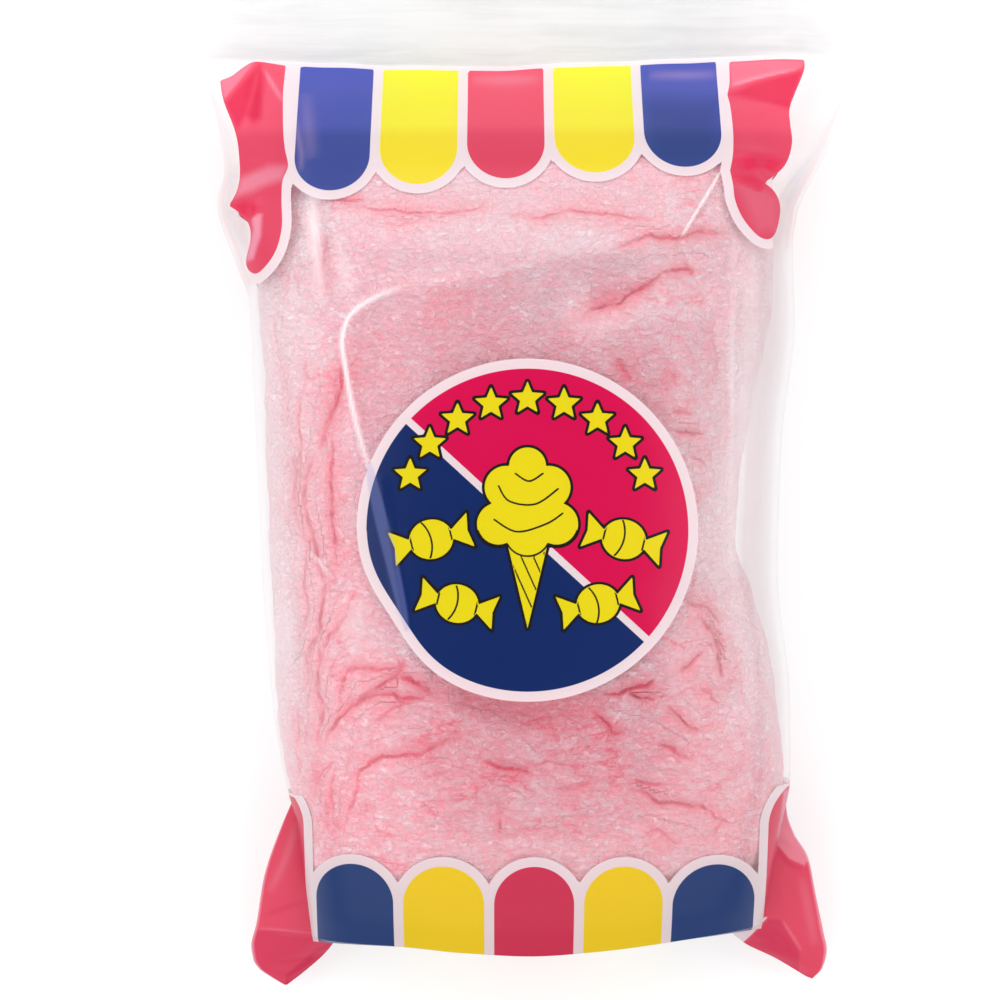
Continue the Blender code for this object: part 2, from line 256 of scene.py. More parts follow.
# Painted shade and highlight where bends turn the ink away from the light and towards it: tone from -1 for
# deep shade to 1 for a pale highlight, softness in millimetres, and the outline of each part.
PAINTED_LIGHT_PARTS = [
    (0.3, 0.9, [(-104.6, 140.7), (-100.4, 142.2), (-96.2, 145.7), (-93, 147.4), (-98.4, 138.6),
     (-102.7, 133.5)]),
    (-0.9, 1.6, [(-102.7, 132.4), (-96.6, 140), (-91.2, 147), (-89.3, 144), (-89.5, 135.1),
     (-89.8, 126.4), (-92.3, 125.1), (-95.1, 127.5), (-97.8, 123), (-101.1, 128.6)]),
    (0.34, 2.2, [(-95.8, 104.6), (-91.4, 106.6), (-86.3, 108.5), (-79.6, 108.1), (-80.8, 103.5),
     (-85.1, 102.2), (-90.9, 99.9), (-97.2, 98.5)]),
    (-0.8, 1.2, [(-99.4, 95.5), (-93.7, 95.9), (-87.7, 94.1), (-88.3, 91.9), (-92.1, 90.1), (-96, 92.9)]),
    (0.55, 1, [(-88.7, 93.4), (-87.6, 91.2), (-87.9, 84.1), (-90.7, 76.7), (-93.3, 76.3), (-91.7, 82.3),
     (-90.5, 86.3), (-91.3, 90.7)]),
    (0.26, 0.8, [(71.4, 147.8), (97.4, 148.4), (96, 144.8), (85.3, 142.5), (71.7, 138.3)]),
    (-0.8, 1.4, [(70.6, 135.2), (78.8, 139.1), (86.8, 141.7), (96.9, 144.5), (93.8, 136.7), (91.1, 129.8),
     (84.8, 131.9), (77, 133.6)]),
    (-0.6, 1, [(69.9, 110.2), (75.3, 112.3), (83.4, 112.4), (88.6, 111.1), (86.1, 106.6), (80, 107.4),
     (73.5, 106.2)]),
    (-0.6, 0.8, [(73, 110), (78, 110.6), (78, 107.8), (75, 107)]),
    (-0.5, 0.8, [(82, 110.6), (86, 110), (84, 106.4), (81.6, 107.6)]),
    (-0.7, 1, [(69.1, 104.7), (76.6, 104.7), (80.6, 102.4), (79.3, 99.7), (73.3, 102.1)]),
    (0.14, 3, [(71, 101), (79, 101), (86, 97), (85, 87), (78, 85)]),
    (-0.5, 7, [(40, 133), (67.5, 133), (67.5, 106), (40, 106)]),
    (0.45, 0.6, [(87.6, -102), (92, -102), (92.5, -110), (92.5, -126), (91.4, -127.5), (87, -122.4),
     (85.6, -117.9), (87, -111)]),
]
# The same painted shade and highlight along lines: tone, half width, points.
PAINTED_LIGHT_LINES = [
    (0.45, 0.7, [(-90.5, 146), (-86.9, 140), (-82.4, 132.6)]),
    (-0.6, 0.8, [(-91.2, 147), (-93, 137), (-95.2, 126.6)]),
    (0.6, 0.7, [(71.5, 138.5), (80.5, 141.3), (95.1, 144.6)]),
    (0.24, 1, [(-78, 126), (-76.4, 119.5), (-75, 113), (-74.6, 106)]),
    (0.14, 2.6, [(-75, 136), (-73, 122), (-71.5, 110)]),
    (0.24, 1.8, [(43, 142.4), (55, 142.8), (67, 143.2)]),
    (0.22, 2.2, [(-18, 140.9), (-6, 140.9), (6, 141.2)]),
]

# Painted light: the ink is painted paler towards the header, in steps: rise, start and end along Y.
PAINTED_LIGHT_STEPS = [(0.42, -60.0, 60.0), (0.33, 118.0, 124.0), (0.25, 124.0, 147.0)]
# The lower corners get painted light too: how much paler, from where to where out from the middle, below
# what Y.
CORNER_PAINTED_LIGHT = 0.4
CORNER_BAND = (73.0, 79.0)
CORNER_MIDDLE = 4.0
BOTTOM_HALF = -60.0
SEAL_FADE = 0.6          # the header is less hazy at its sides, over this band out from the middle
SEAL_FADE_BAND = (98.0, 116.0)
SEAL_EDGE = 0.7          # soft edge of the haze beyond the print
# Where the film greys and reflects less: along Y towards the header, and half as much along X to the left.
QUIET_HEADER = (92.0, 118.0)
QUIET_LEFT = (0.0, -60.0)

LABEL_CENTRE = (1, -13.9)
LABEL_RADIUS = 56.1
LABEL_RING = 3.3
LABEL_BAND = 1.2         # half width of the white band between the label's two fields
DIAGONAL = (0.6755, 0.7373)  # direction that crosses the band
LABEL_LIFT = 0.15        # height above the film
LABEL_MARGIN = 1.5       # the sheet is cut from a square this much larger all round
LABEL_TRIM = 0.6         # the sheet ends this far beyond the label's edge
# A pleat of the film hides a little of the label's edge: depth, direction and half width of it.
PLEAT_DEPTH = 3.0
PLEAT_ANGLE = -147.0
PLEAT_WIDTH = 0.32
# A bend in the film crosses the label's left part, where a painted sheen makes it paler.
LABEL_SHEEN = [(-51.5, 9), (-48, -6), (-43.5, -24), (-38.5, -46)]
LABEL_SHEEN_WIDTH = 2.1
# The label's plain picture, measured from its centre.
STARS = 9
STAR_ARC = 42.0
STAR_RADIUS = 5.6
SWEETS = [
    ((-31.5, -3), 14, 7.2), ((31.5, -3), -14, 7.2), ((-23, -24), -14, 7), ((23, -24), 14, 7),
]
CONE = [(-6.4, -5.0), (0.0, -32.0), (6.4, -5.0)]
# Round parts of the spun sugar: middle x, middle y, radius.
CLOUD = [
    (0, 7, 10.5), (-9.5, 2, 7), (9.5, 2, 7), (-7, 14, 7), (7, 14, 7), (0, 21, 6), (0, -1, 7.5),
]
SWIRLS = [
    [(-11, 3.5), (-3.5, -0.5), (6, 2), (11.5, 5.5)],
    [(10, 13.5), (2.5, 8.5), (-6, 9.5), (-9.5, 14.5)],
    [(-4, 18.5), (0.5, 16), (5, 18.5)],
]
OUTLINE = 0.95           # black line around the yellow shapes
INNER_LINE = 0.32        # half width of the black lines on them
HIDE = 9.0               # added to the distance from a line where the line isn't drawn

# ---- candy
CANDY_LEFT = [
    (-150, -72), (-108, -79.2), (-90, -82.6), (-45, -85.5), (0, -87), (40, -88.5), (80, -91.5),
    (105, -90), (128, -78),
]
CANDY_RIGHT = [
    (-150, 79), (-105, 89), (-80, 87), (-55, 83.5), (-36, 78), (-18, 72.5), (0, 73), (28, 77), (44, 80.5),
    (62, 84.5), (84, 85), (105, 86), (128, 74),
]
CANDY_CROWN = [
    (-150, 55), (-142, 63), (-130, 69.5), (-112, 73.6), (-84, 76.2), (-30, 76.8), (45, 76), (76, 74),
    (91, 70.4), (104, 63), (117, 51), (128, 38),
]
CANDY_UNDER = [
    (-150, 14), (-140, 7), (-125, 2), (-112, 0.8), (70, 0.8), (92, 2.6), (108, 8), (128, 20),
]
CANDY_SQUARENESS = [(-150, 5.6), (-110, 4.8), (-75, 3.6), (60, 3.2), (95, 3.8), (128, 3.2)]

CANDY_END_SQUARENESS = 24
CANDY_BOW_LENGTH = 333.0  # its rows bow as those of a bag of this length
CANDY_EDGE_SHARE = 0.46  # height of its side edges, from its underside at 0 to its crown at 1
FILM_CLEARANCE = 0.7     # least gap between candy and film
# Uneven skin, and how far the creases wander from their lines: height, wavelength and seed of each noise.
LARGE_LUMPS = [(0.8, 36.0, 1.3)]
SMALL_LUMPS = [(0.6, 15.0, 5.9), (0.42, 7.0, 9.2), (0.18, 3.2, 12.4)]
WANDER_X = [(1.0, 9.0, 21.0), (0.7, 3.6, 22.0)]
WANDER_Y = [(1.0, 9.0, 31.0), (0.7, 3.6, 32.0)]
DEEPEST_CREASE = 2.4
CREASE_REACH = 9.0
CREASES_ABOVE = 25.0     # no crease is lower than this
CREASE_CUT = 0.7         # share of a crease's depth that is cut into the skin; the rest is painted shade, a deeper colour
BANK = 0.2               # height of the banks on both sides, as a share of the crease's depth
BANK_WIDTH = 2.0
CREASE_SHADE_WIDTH = 4.2         # half width of the painted shade, a deeper pink, around a crease

# Creases of the pressed candy: the points of each, depth, half width.
CREASES = [
    ([(-58, 93), (-46, 92), (-34, 91), (-20, 91.5), (-8, 93.5)], 1, 0.8),
    ([(-66, 97), (-58, 95), (-52, 95.5)], 1, 0.9),
    ([(-48, 86.5), (-38, 87.5), (-30, 89.5)], 0.6, 1),
    ([(-7, 90), (6, 89.4), (12, 91), (21, 91.2), (33, 89.5), (44, 88.5)], 1.1, 0.8),
    ([(30, 78.5), (37, 81.5), (42, 82.8), (50, 82.5), (60, 84.6), (70, 84)], 1.5, 1),
    ([(18, 56.5), (25, 59.5), (31, 61), (35, 64), (41, 67), (46, 71)], 1.6, 0.8),
    ([(45, 70.5), (50, 71.5), (54.5, 71.5), (56.5, 69)], 1.5, 1),
    ([(30, 42.5), (33, 38), (36, 34)], 0.9, 1.6),
    ([(50, 19), (56, 17.8), (60, 18.4)], 1.2, 1),
    ([(54, 9.5), (58, 9), (61, 6)], 0.8, 1),
    ([(47, 41), (49.5, 37), (50, 33)], 0.7, 0.9),
    ([(48, 25.5), (52, 24.8), (56, 24.5)], 0.8, 0.8),
    ([(52.4, -37.2), (56.9, -38.8), (60.2, -39.1), (62.5, -42), (65, -47)], 1.3, 0.9),
    ([(57.3, -40.8), (60.2, -45.7), (63.2, -48.7), (64.2, -51.9), (64.8, -59.8), (65.5, -63.7)], 1.9,
     0.85),
    ([(63.8, -50), (66.5, -54.5)], 1.2, 0.8),
    ([(51, -61.8), (53.7, -59.2), (56.3, -56.5), (59.6, -55.2)], 1.2, 1.1),
    ([(57.6, -65.7), (60.9, -67.7), (64.2, -72.3)], 0.9, 0.9),
    ([(24.8, -66.4), (30, -67), (34.6, -65.7), (40.5, -64.7), (42.5, -62.4)], 1.5, 0.9),
    ([(34, -67), (37.9, -69), (43.5, -70.2)], 1.3, 0.85),
    ([(47.1, -72.3), (49.7, -74.9), (53, -78.5), (57.6, -79.9)], 1.6, 1),
    ([(22.2, -72.9), (24.8, -74.9), (27.4, -77.5), (30, -80.1), (34.6, -80.3)], 1.3, 0.9),
    ([(43.8, -84), (47.8, -85.4), (51.7, -87.4), (55.6, -89.7)], 1.2, 0.9),
    ([(34.6, -95.9), (39.9, -97.5), (47.1, -97.9)], 1, 1),
    ([(34, -99.2), (39.9, -100.5), (43.8, -103.1), (52.4, -104.1), (58.3, -105.1), (63.5, -109),
     (69.4, -112)], 1.5, 1),
    ([(38.6, -115.6), (43.2, -113), (47.1, -115.6), (52.4, -117.5)], 1, 1),
    ([(7.7, -74.9), (9.1, -80.1), (10.4, -84.1)], 0.7, 1),
    ([(-15.9, -89.7), (-8, -91.7), (-1.5, -92.3), (3.8, -93.6)], 1.3, 1),
    ([(8, -99), (18, -98.5), (24, -96)], 0.7, 1.4),
    ([(-8.7, -102.5), (-8.2, -110), (-7.4, -118)], 0.8, 1.1),
    ([(-15.5, -80.2), (-24.4, -82.8), (-33.6, -86.8), (-44, -87.8), (-49.4, -89.7), (-54.6, -94),
     (-55.9, -99.9), (-58.5, -107.7), (-61.1, -114.9)], 1.2, 1),
    ([(-23.2, -93), (-29, -93.3), (-35.6, -95.3)], 0.6, 0.9),
    ([(-30.3, -68), (-39.5, -69), (-46.7, -67.7), (-52.6, -69.7), (-58.5, -72.3), (-61.8, -76.2),
     (-63.8, -80.2), (-68.3, -86)], 2, 1),
    ([(-41.5, -55.5), (-41.5, -61.1), (-48, -65.1), (-54.6, -69.7)], 1.5, 1),
    ([(-41.5, -61.8), (-35.6, -64.4), (-29, -68)], 1.3, 1),
    ([(-37.6, -58.2), (-44.8, -59.2), (-56, -59.6), (-60, -64), (-62, -72)], 1.2, 1.1),
    ([(-35.6, -69.6), (-41.5, -71), (-45.4, -73.5), (-51, -79)], 1, 1),
    ([(-65.5, -30), (-66.3, -38), (-67.5, -47), (-71, -53), (-72, -62), (-74, -69)], 1.5, 1),
    ([(-55.5, -33), (-57.8, -39), (-61, -46), (-65, -50), (-66.5, -58)], 1.3, 1),
    ([(-68.5, -52), (-67.5, -60), (-68.5, -68), (-67.8, -74), (-69.5, -87)], 1.7, 0.95),
    ([(-63.8, -90), (-67.6, -95.9), (-69.2, -100)], 1, 1),
    ([(-62.5, -92), (-63.8, -101.2), (-63.2, -109)], 0.9, 1),
    ([(-76.8, -70), (-76, -80), (-75, -88)], 0.8, 1),
    ([(-69.5, 12), (-72.4, 4), (-73, -6), (-70.5, -16), (-69, -24), (-66.5, -32)], 1.7, 1),
    ([(-59.5, 41), (-61, 33), (-64, 24), (-68, 12)], 1.6, 1),
    ([(-77.5, 12), (-77, 2), (-76, -10)], 1.3, 0.9),
    ([(-74, 34), (-75.5, 24), (-74.5, 12), (-76, -4), (-74, -18)], 1.2, 0.8),
    ([(-72, -18), (-73.5, -30), (-72.5, -42), (-76, -54)], 1.3, 0.8),
    ([(-63.5, 18), (-64, 2), (-63.5, -12), (-62, -28)], 1.4, 0.9),
    ([(-66, 84), (-66.5, 74), (-65, 64)], 0.8, 1),
    ([(-83.5, 60), (-83, 48), (-81.5, 34)], 0.7, 1),
    ([(-79, 44), (-80, 30), (-79, 18)], 0.7, 1),
    ([(68, 36), (67, 22), (66, 8)], 0.8, 1.2),
    ([(62, 54), (63.5, 42), (62, 30)], 0.6, 1.2),
]
# The hollow below the label's lower edge, also painted deeper pink as the label's shadow: points, depth,
# half width.
LABEL_HOLLOW = ([(-32, -62), (-20, -69), (-4, -73.5), (12, -74), (28, -69)], 3.2, 5)


# ---- curves and fields
FAR = 99.0               # further than anything that a distance is compared with


def follow(line, at):
    """Read values off the smooth curve through the (position, value) pairs of a line."""
    where, value = np.array(line, float).T
    at = np.clip(np.asarray(at, float), where[0], where[-1])
    steps = np.diff(value) / np.diff(where)
    before, after = steps[:-1], steps[1:]
    same_way = before * after > 0.0
    inner = np.where(same_way, 2.0 * before * after / np.where(same_way, before + after, 1.0), 0.0)
    slope = np.concatenate([steps[:1], inner, steps[-1:]])
    i = np.clip(np.searchsorted(where, at, side="right") - 1, 0, len(line) - 2)
    span = where[i + 1] - where[i]
    t = (at - where[i]) / span
    return ((2 * t ** 3 - 3 * t ** 2 + 1) * value[i] + (t ** 3 - 2 * t ** 2 + t) * span * slope[i]
            + (3 * t ** 2 - 2 * t ** 3) * value[i + 1] + (t ** 3 - t ** 2) * span * slope[i + 1])


def smooth_step(low, high, value):
    """0 below low, 1 above high, and a smooth rise between."""
    t = np.clip((np.asarray(value, float) - low) / (high - low), 0.0, 1.0)
    return t * t * (3.0 - 2.0 * t)


def smooth_path(points, pieces=8):
    """Points along the Catmull-Rom curve through a few points."""
    given = [np.array(p, float) for p in points]
    path = []
    for k in range(len(given) - 1):
        a, b, c, d = (given[min(max(k + j, 0), len(given) - 1)] for j in (-1, 0, 1, 2))
        for t in np.arange(pieces) / pieces:
            path.append(0.5 * (2 * b + (c - a) * t + (2 * a - 5 * b + 4 * c - d) * t ** 2
                               + (3 * b - a - 3 * c + d) * t ** 3))
    path.append(given[-1])
    return np.array(path)


def path_distance(x, y, path):
    """Distance from points to an open path, and how far along it the nearest place is, 0 to 1."""
    best = np.full(np.shape(x), 1e9)
    share = np.zeros(np.shape(x))
    for k, (a, b) in enumerate(zip(path, path[1:])):
        along = b - a
        t = np.clip(((x - a[0]) * along[0] + (y - a[1]) * along[1]) / max(1e-9, along @ along), 0, 1)
        away = np.hypot(x - a[0] - along[0] * t, y - a[1] - along[1] * t)
        nearer = away < best
        best = np.where(nearer, away, best)
        share = np.where(nearer, (k + t) / (len(path) - 1), share)
    return best, share


def side_of(x, y, path, share):
    """1 to the left of a path and -1 to its right, for points whose nearest place on it is known."""
    steps = np.diff(path, axis=0)
    place = np.clip((share * len(steps)).astype(int), 0, len(steps) - 1)
    start, along = path[place], steps[place]
    return np.where(along[..., 0] * (y - start[..., 1]) > along[..., 1] * (x - start[..., 0]), 1.0, -1.0)


def crest(x, y, points, half_width, ends=0.0):
    """A round ridge along a smooth path: 1 on its middle, and 0 far from it and at its two ends."""
    away, share = path_distance(x, y, smooth_path(points))
    fade = np.sin(np.pi * np.clip(share, ends, 1.0 - ends)) ** 0.5
    return fade * np.exp(-(away / half_width) ** 2)


def inside_distance(x, y, path):
    """Signed distance to a closed path: negative inside."""
    ring = np.vstack([path, path[:1]])
    away, _ = path_distance(x, y, ring)
    inside = np.zeros(np.shape(x), bool)
    for a, b in zip(ring, ring[1:]):
        if a[1] == b[1]:
            continue
        crosses = (a[1] > y) != (b[1] > y)
        inside ^= crosses & (x < (b[0] - a[0]) * (y - a[1]) / (b[1] - a[1]) + a[0])
    return np.where(inside, -away, away)


def cornered_path(points):
    """Closed path through points: sharp at (x, y, 1) and smooth at (x, y)."""
    corners = [k for k, point in enumerate(points) if len(point) == 3]
    path = []
    for first, last in zip(corners, corners[1:] + [corners[0] + len(points)]):
        run = [points[k % len(points)][:2] for k in range(first, last + 1)]
        path.extend(smooth_path(run, 4)[:-1])
    return np.array(path)


def noise_field(x, y, z, length, seed):
    """Smooth noise between about -1 and 1 with the given wavelength, read at many points."""
    flat = zip(np.ravel(x / length), np.ravel(y / length), np.ravel(z / length + seed))
    return np.array([noise.noise(Vector(p)) for p in flat]).reshape(np.shape(x))


# ---- the film's surface
def fold_relief(x, y):
    """Height that the soft folds add to the front film."""
    height = np.zeros(np.shape(x))
    for start, end, half_width, rise in FOLDS:
        away, _ = path_distance(x, y, np.array([start, end]))
        height += rise * np.exp(-(away / half_width) ** 2)
    return height


def pull_relief(x, y):
    """Height that the sharp pulls add: each rises and dies away along its length."""
    return sum(rise * crest(x, y, points, half_width, 0.03) for points, half_width, rise in PULLS)


def tent_relief(x, y, tents):
    """Height of bends with straight sides and a slightly rounded crest, which fade at their ends."""
    height = np.zeros(np.shape(x))
    for start, end, half_width, rise in tents:
        away, share = path_distance(x, y, np.array([start, end]))
        near = np.clip(1.0 - np.sqrt(away ** 2 + 0.2) / half_width, 0.0, 1.0)
        height += rise * near * (0.35 + 0.65 * np.sin(np.pi * np.clip(share, 0.08, 0.92)))
    return height


def facet_relief(x, y):
    """Height that the facets take away: a slope that starts at once and dies away at its reach."""
    height = np.zeros(np.shape(x))
    for points, reach, side in FACETS:
        path = smooth_path(points)
        away, share = path_distance(x, y, path[:, :2])
        slope = np.interp(share, np.linspace(0.0, 1.0, len(path)), path[:, 2])
        near = np.clip(1.0 - away / reach, 0.0, 1.0)
        height -= slope * away * near ** 2 * (side_of(x, y, path, share) == side)
    return height


def bend_highlights(x, y):
    """How strongly a painted highlight whitens the film at each point, 0 to 1."""
    white = np.zeros(np.shape(x))
    for points, half_width, strength in BEND_HIGHLIGHTS:
        white = np.maximum(white, strength * crest(x, y, points, half_width))
    return white


def painted_light_tones(x, y, parts, lines):
    """Painted light and shade of the ink at each point: paler above 0, deeper below 0."""
    painted_light_and_tone = np.zeros(np.shape(x))
    for strength, softness, outline in parts:
        distance = inside_distance(x, y, np.array(outline))
        painted_light_and_tone += strength * smooth_step(softness, -softness, distance)
    for strength, half_width, points in lines:
        painted_light_and_tone += (strength - painted_light_and_tone) * crest(x, y, points, half_width)
    return painted_light_and_tone


def ripple(x, y):
    """Height of the header's ripples, the same on both films."""
    fade = smooth_step(HEADER_START - RIPPLE_REACH, HEADER_START + 6.0, y)
    return fade * sum(size * np.cos(2.0 * np.pi * (x - peak) / wavelength)
                      for size, wavelength, peak in HEADER_RIPPLES)


def bow(x, station, length=HEADER_END - FOLD_LOWEST):
    """How far y at x lies beyond its station: rows bow near the bottom fold."""
    along = (station - FOLD_LOWEST) / length
    return (follow(FOLD_LINE, x) - FOLD_LOWEST) * (1.0 - smooth_step(0.0, BOW_REACH, along))


def line_y(x, y):
    """The station whose row passes through a point, closed in on in a few rounds."""
    station = np.array(y, float)
    for _ in range(6):
        station = y - bow(x, station)
    return station


def film_heights(x, y, station):
    """Heights of the front and the back film at plan points, given their station."""
    left, right = follow(LEFT_EDGE, station), follow(RIGHT_EDGE, station)
    across = np.clip((2.0 * x - left - right) / (right - left), -1.0, 1.0)
    crown, under = follow(CROWN_LINE, station), follow(UNDERSIDE_LINE, station)
    share = EDGE_SHARE + (0.5 - EDGE_SHARE) * smooth_step(EDGE_RISE_START, HEADER_START, station)
    edge = under + share * (crown - under)
    dome = np.maximum(0.0, 1.0 - np.abs(across) ** follow(SQUARENESS, station)) ** 0.5
    in_header = smooth_step(HEADER_START - HEADER_BLEND, HEADER_START, station)
    lift = ripple(x, y)
    wave = (WAVE * noise_field(x, y, 0.0 * x, WAVE_LENGTH, 3.1)
            + FINE_WAVE * noise_field(x, y, 0.0 * x, FINE_WAVE_LENGTH, 7.7))
    relief = (fold_relief(x, y) + pull_relief(x, y) + facet_relief(x, y)
              + tent_relief(x, y, TENTS)) * (1.0 - in_header) + wave
    front = edge + (crown - edge) * dome + relief * dome + lift
    back = np.maximum(0.0, edge - (edge - under) * dome + lift)
    return front, back


def spread(count, evenness):
    """Columns from -1 to 1: even in the middle, closer together at the side edges."""
    even = np.linspace(-1.0, 1.0, count + 1)
    return evenness * even + (1.0 - evenness) * np.sin(0.5 * np.pi * even)


def film_grid(columns, rows):
    """Plan points and heights of the film on a grid, and the station of each row."""
    across, along = np.meshgrid(spread(columns, FILM_EVENNESS), np.linspace(0.0, 1.0, rows + 1))
    station = FOLD_LOWEST + (HEADER_END - FOLD_LOWEST) * along
    left, right = follow(LEFT_EDGE, station), follow(RIGHT_EDGE, station)
    x = 0.5 * (left + right) + 0.5 * (right - left) * across
    y = station + bow(x, station)
    front, back = film_heights(x, y, station)
    return x, y, front, back


# ---- print fields
def strip(x, y, middle, half_width, tip, end_is_low):
    """Signed distance to a strip with one round end whose furthest point is at tip."""
    turn = tip + half_width if end_is_low else tip - half_width
    beyond = np.minimum(y - turn, 0.0) if end_is_low else np.maximum(y - turn, 0.0)
    return np.hypot(x - middle, beyond) - half_width


def awning(x, y):
    """Signed distances of the inks of both awnings: {"white", "red", "blue", "yellow"}."""
    far = np.full(np.shape(x), FAR)
    inks = {"white": far, "red": far, "blue": far, "yellow": far}
    beyond_edge = y - follow(TOP_PRINT_LINE, x)
    for gaps, tips, low_end in ((TOP_GAPS, TOP_TIPS, True), (BOTTOM_GAPS, [BOTTOM_TIP] * 5, False)):
        for k, ink in enumerate(STRIPE_INKS):
            middle = 0.5 * (gaps[k] + gaps[k + 1])
            half = 0.5 * (gaps[k + 1] - gaps[k] - GAP)
            colour = strip(x, y, middle, half, tips[k], low_end)
            rim = colour - GAP
            if low_end:
                colour = np.maximum(colour, beyond_edge)
                rim = np.maximum(rim, beyond_edge - TOP_RIM)
            inks[ink] = np.minimum(inks[ink], colour)
            inks["white"] = np.minimum(inks["white"], rim)
    for outline, beyond in ((TOP_LEFT_RED, TOP_RIM_LEFT_END - x), (TOP_RIGHT_RED, x - TOP_RIM_RIGHT_END)):
        colour = inside_distance(x, y, cornered_path(outline))
        rim = np.maximum(np.maximum(colour - GAP, beyond_edge - TOP_RIM), beyond)
        inks["red"] = np.minimum(inks["red"], colour)
        inks["white"] = np.minimum(inks["white"], np.minimum(rim, colour))
    # lower corners: a strip beyond each side, whose inner edge shows on the front up to the ear's start
    for middle, ear_start in ((BOTTOM_GAPS[0] - CORNER_OUT, LEFT_EAR_START),
                              (BOTTOM_GAPS[-1] + CORNER_OUT, RIGHT_EAR_START)):
        colour = strip(x, y, middle, CORNER_HALF, CORNER_TIP, False)
        inks["red"] = np.minimum(inks["red"], np.maximum(colour, y - ear_start + CORNER_RED_SHORT))
        inks["white"] = np.minimum(inks["white"], np.maximum(colour - GAP, y - ear_start))
    return inks


# ---- meshes
def make_object(name, points, faces):
    """A smooth object from points in millimetres and faces."""
    mesh = bpy.data.meshes.new(name)
    mesh.from_pydata((np.asarray(points) * MM).tolist(), [], [list(map(int, f)) for f in faces])
    mesh.validate()
    mesh.shade_smooth()
    thing = bpy.data.objects.new(name, mesh)
    bpy.context.scene.collection.objects.link(thing)
    return thing


def grid_faces(rows, columns, first=0, flip=False):
    """Quads of a grid of (rows + 1) by (columns + 1) points."""
    faces = []
    for r in range(rows):
        base = first + r * (columns + 1)
        for c in range(columns):
            quad = (base + c, base + c + 1, base + columns + 2 + c, base + columns + 1 + c)
            faces.append(quad[::-1] if flip else quad)
    return faces


def ring_faces(rings, around):
    """Quads between rings that have the same number of points."""
    return [(r * around + c, r * around + (c + 1) % around,
             (r + 1) * around + (c + 1) % around, (r + 1) * around + c)
            for r in range(rings - 1) for c in range(around)]


def stamp(thing, name, values):
    """Store one number for each point of a mesh, for the material to read."""
    attribute = thing.data.attributes.new(name, "FLOAT", "POINT")
    attribute.data.foreach_set("value", np.asarray(values, np.float32).ravel())


def stamp_film(film, x, y):
    """Mark the inks, the hazy header and the painted light that makes the ink paler along Y."""
    for ink, distance in awning(x, y).items():
        stamp(film, ink, distance)
    middle = 1.0 - SEAL_FADE * smooth_step(*SEAL_FADE_BAND, np.abs(x))
    stamp(film, "seal", middle * smooth_step(TOP_RIM, TOP_RIM + SEAL_EDGE, y - follow(TOP_PRINT_LINE, x)))
    painted_light = sum(rise * smooth_step(low, high, y) for rise, low, high in PAINTED_LIGHT_STEPS)
    bottom_corners = CORNER_PAINTED_LIGHT * smooth_step(*CORNER_BAND, np.abs(x - CORNER_MIDDLE)) * (y < BOTTOM_HALF)
    stamp(film, "painted_light", np.maximum(painted_light, bottom_corners))
    stamp(film, "quiet", np.maximum(smooth_step(*QUIET_HEADER, y), 0.5 * smooth_step(*QUIET_LEFT, x)))


def make_front(columns=230, rows=330):
    """The front film with its print, bends and tones."""
    x, y, front, _ = film_grid(columns, rows)
    points = np.stack([x, y, front], -1).reshape(-1, 3)
    film = make_object("bag_film_front", points, grid_faces(rows, columns))
    stamp_film(film, x, y)
    # painted highlights along the film's bends
    stamp(film, "bend_highlight", bend_highlights(x, y))
    # painted shade and highlight of the ink
    stamp(film, "painted_light_and_tone", painted_light_tones(x, y, PAINTED_LIGHT_PARTS, PAINTED_LIGHT_LINES))
    return film


def make_back(columns=150, rows=220, wall_rows=18):
    """The back film and the bottom end wall."""
    x, y, front, back = film_grid(columns, rows)
    points = np.stack([x, y, back], -1).reshape(-1, 3)
    back_faces = grid_faces(rows, columns, flip=True)
    # bottom end wall, from the front's fold to the underside
    share = np.linspace(0.0, 1.0, wall_rows + 1)[:, None]
    wall_x = np.repeat(x[:1], wall_rows + 1, 0)
    wall_y = y[:1] - WALL_BULGE * np.sin(np.pi * share) * (front[:1] - back[:1] > 1.0)
    wall_z = front[:1] + (back[:1] - front[:1]) * share
    wall = np.stack([wall_x, wall_y, wall_z], -1).reshape(-1, 3)
    wall_faces = grid_faces(wall_rows, columns, first=len(points), flip=True)
    film = make_object("bag_film_back", np.vstack([points, wall]), back_faces + wall_faces)
    stamp_film(film, np.append(x, wall_x), np.append(y, wall_y))
    return film


def make_ear(name, stations, bends, parts, lines, strip_piece=None, rows=150, columns=64):
    """One folded corner: a flat pocket lofted through its stations, front and back."""
    at = np.linspace(0.0, len(stations) - 1.0, rows + 1)

    def read(edge, axis):
        return follow([(k, station[edge][axis]) for k, station in enumerate(stations)], at)[:, None]

    out = np.linspace(0.0, 1.0, columns + 1)[None, :]
    x, y, front = (read(1, k) + (read(0, k) - read(1, k)) * out for k in range(3))
    fade = 1.0 - smooth_step(0.8, 1.0, at / at[-1])[:, None]
    belly = np.sin(np.pi * out) * fade
    front = front + EAR_SWELL * belly + 0.5 * tent_relief(x, y, bends) * (0.2 + belly)
    front = front + EAR_WAVE * noise_field(x, y, 0.0 * x, EAR_WAVE_LENGTH, 4.4)
    back = front - EAR_RIM - EAR_DEPTH * belly ** 0.7
    ring = np.concatenate([np.stack([x, y, front], -1), np.stack([x, y, back], -1)[:, ::-1]], 1)
    around = ring.shape[1]
    caps = [list(range(around))[::-1], [rows * around + c for c in range(around)]]
    thing = make_object(name, ring.reshape(-1, 3), ring_faces(rows + 1, around) + caps)
    place_x, place_y = ring[..., 0], ring[..., 1]
    # painted shade and highlight of the ear's bends
    stamp(thing, "painted_light_and_tone", painted_light_tones(place_x, place_y, parts, lines))
    if strip_piece:
        stamp(thing, "white", inside_distance(place_x, place_y, np.array(strip_piece)))
    # painted highlight along the ear's outer fold
    rim = np.concatenate([out, out[:, ::-1]], 1) + 0.0 * place_x
    stamp(thing, "rim", smooth_step(0.955, 0.99, rim))
    return thing


